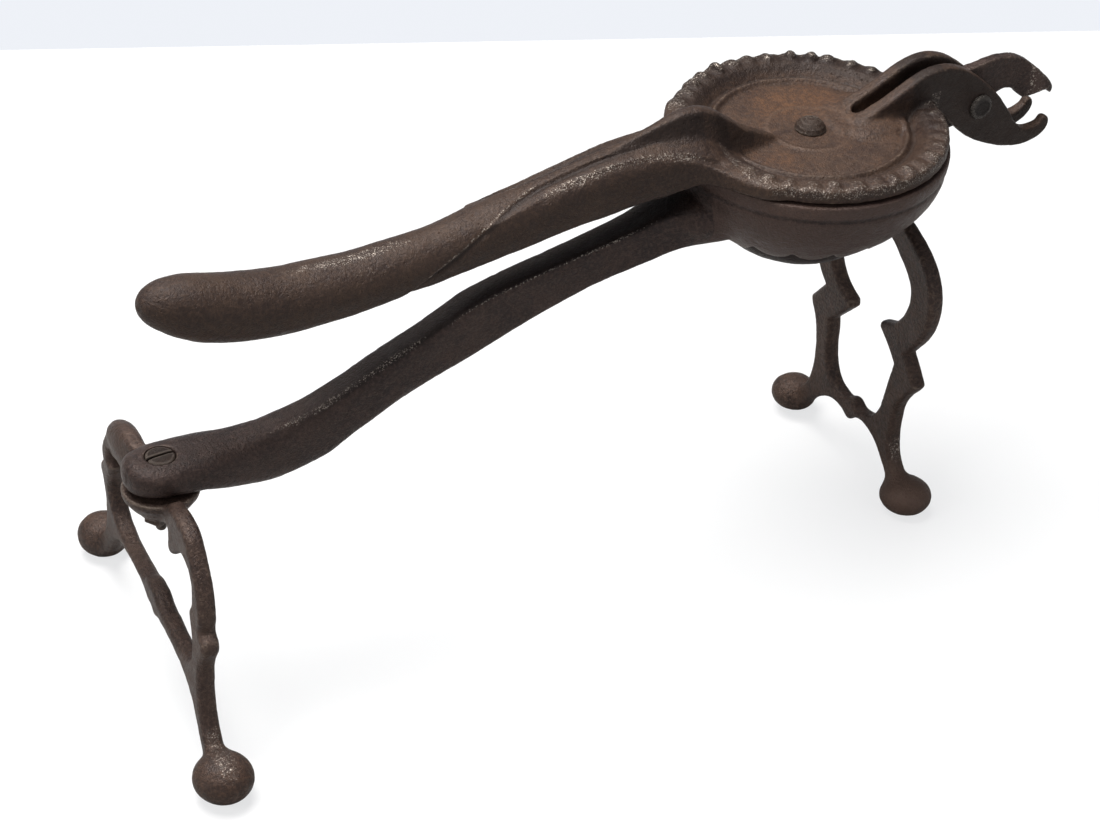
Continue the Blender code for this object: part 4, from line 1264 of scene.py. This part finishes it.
def build_floor():
    """Glows for the camera only, and is darker to the camera than to other rays."""
    mat, shader = stage_material("floor", colour=(0.93, 0.935, 0.94), roughness=0.6,
                                 specular=0.1, glow=(0.985, 0.99, 1.0))
    tree = mat.node_tree
    new, link = tree.nodes.new, tree.links.new
    to_camera = new("ShaderNodeLightPath").outputs["Is Camera Ray"]
    tint = new("ShaderNodeMix")
    tint.data_type = "RGBA"
    tint.inputs[6].default_value = (0.42, 0.415, 0.41, 1)
    tint.inputs[7].default_value = (0.24, 0.24, 0.24, 1)
    link(to_camera, tint.inputs[0])
    link(tint.outputs[2], shader.inputs["Base Color"])
    glow = new("ShaderNodeMath")
    glow.operation = "MULTIPLY"
    glow.inputs[1].default_value = 0.725
    link(to_camera, glow.inputs[0])
    link(glow.outputs[0], shader.inputs["Emission Strength"])
    sheet("floor", [(-3, -3), (3, -3), (3, 3), (-3, 3)], -0.0002, mat)


def build_beyond():
    """Beyond the edge of the table, a strip of paler blue grey."""
    mat, shader = stage_material("beyond", colour=(0.0, 0.0, 0.0), roughness=0.9,
                                 specular=0.0, glow=(0.86, 0.885, 0.935))
    shader.inputs["Emission Strength"].default_value = 1.0
    start, end = np.array([-0.055, 0.404]), np.array([0.403, 0.226])
    run = (end - start) / np.linalg.norm(end - start)
    away = np.array([-run[1], run[0]])
    left, right = start - 2 * run, end + 2 * run
    sheet("beyond", [left, right, right + 3 * away, left + 3 * away], -0.0001, mat)


def area(name, place, size, power, colour):
    """An area light aimed at the middle of the press."""
    light = bpy.data.lights.new(name, "AREA")
    light.shape = "RECTANGLE"
    light.size, light.size_y = size
    light.energy = power
    light.color = colour
    obj = bpy.data.objects.new(name, light)
    obj.location = place
    aim = Vector((0, 0, 0.08)) - Vector(place)
    obj.rotation_euler = aim.to_track_quat("-Z", "Y").to_euler()
    bpy.context.scene.collection.objects.link(obj)


def build_camera():
    heading, pitch, roll = math.radians(32.21), math.radians(35.11), math.radians(4.21)
    forward = Vector((math.sin(heading) * math.cos(pitch),
                      math.cos(heading) * math.cos(pitch), -math.sin(pitch)))
    right = Vector((math.cos(heading), -math.sin(heading), 0))
    upward = right.cross(forward)
    side = math.cos(roll) * right + math.sin(roll) * upward
    head = -math.sin(roll) * right + math.cos(roll) * upward
    place = Vector((-0.52274 + DISC_X / 1000, -0.68418, 0.62384))
    lens = bpy.data.cameras.new("camera")
    lens.sensor_width = 36.0
    lens.lens = 98.1818182
    lens.clip_start, lens.clip_end = 0.05, 50
    camera = bpy.data.objects.new("camera", lens)
    rows = [(side[i], head[i], -forward[i], place[i]) for i in range(3)]
    camera.matrix_world = Matrix((*rows, (0, 0, 0, 1)))
    bpy.context.scene.collection.objects.link(camera)
    bpy.context.scene.camera = camera


build_floor()
build_beyond()

world = bpy.data.worlds.new("studio")
bpy.context.scene.world = world
world.use_nodes = True
background = world.node_tree.nodes["Background"]
background.inputs["Color"].default_value = (0.96, 0.975, 1.0, 1)
background.inputs["Strength"].default_value = 0.20

area("top", place=(-0.22, 0.22, 1.20), size=(0.9, 0.7), power=27, colour=(1.0, 0.985, 0.96))
area("left", place=(-1.3, -0.2, 0.8), size=(0.5, 0.6), power=5, colour=(1.0, 0.98, 0.95))
area("front", place=(0.5, -1.5, 0.7), size=(0.9, 0.5), power=4, colour=(0.97, 0.985, 1.0))

build_camera()
bpy.context.scene.view_settings.view_transform = "Standard"
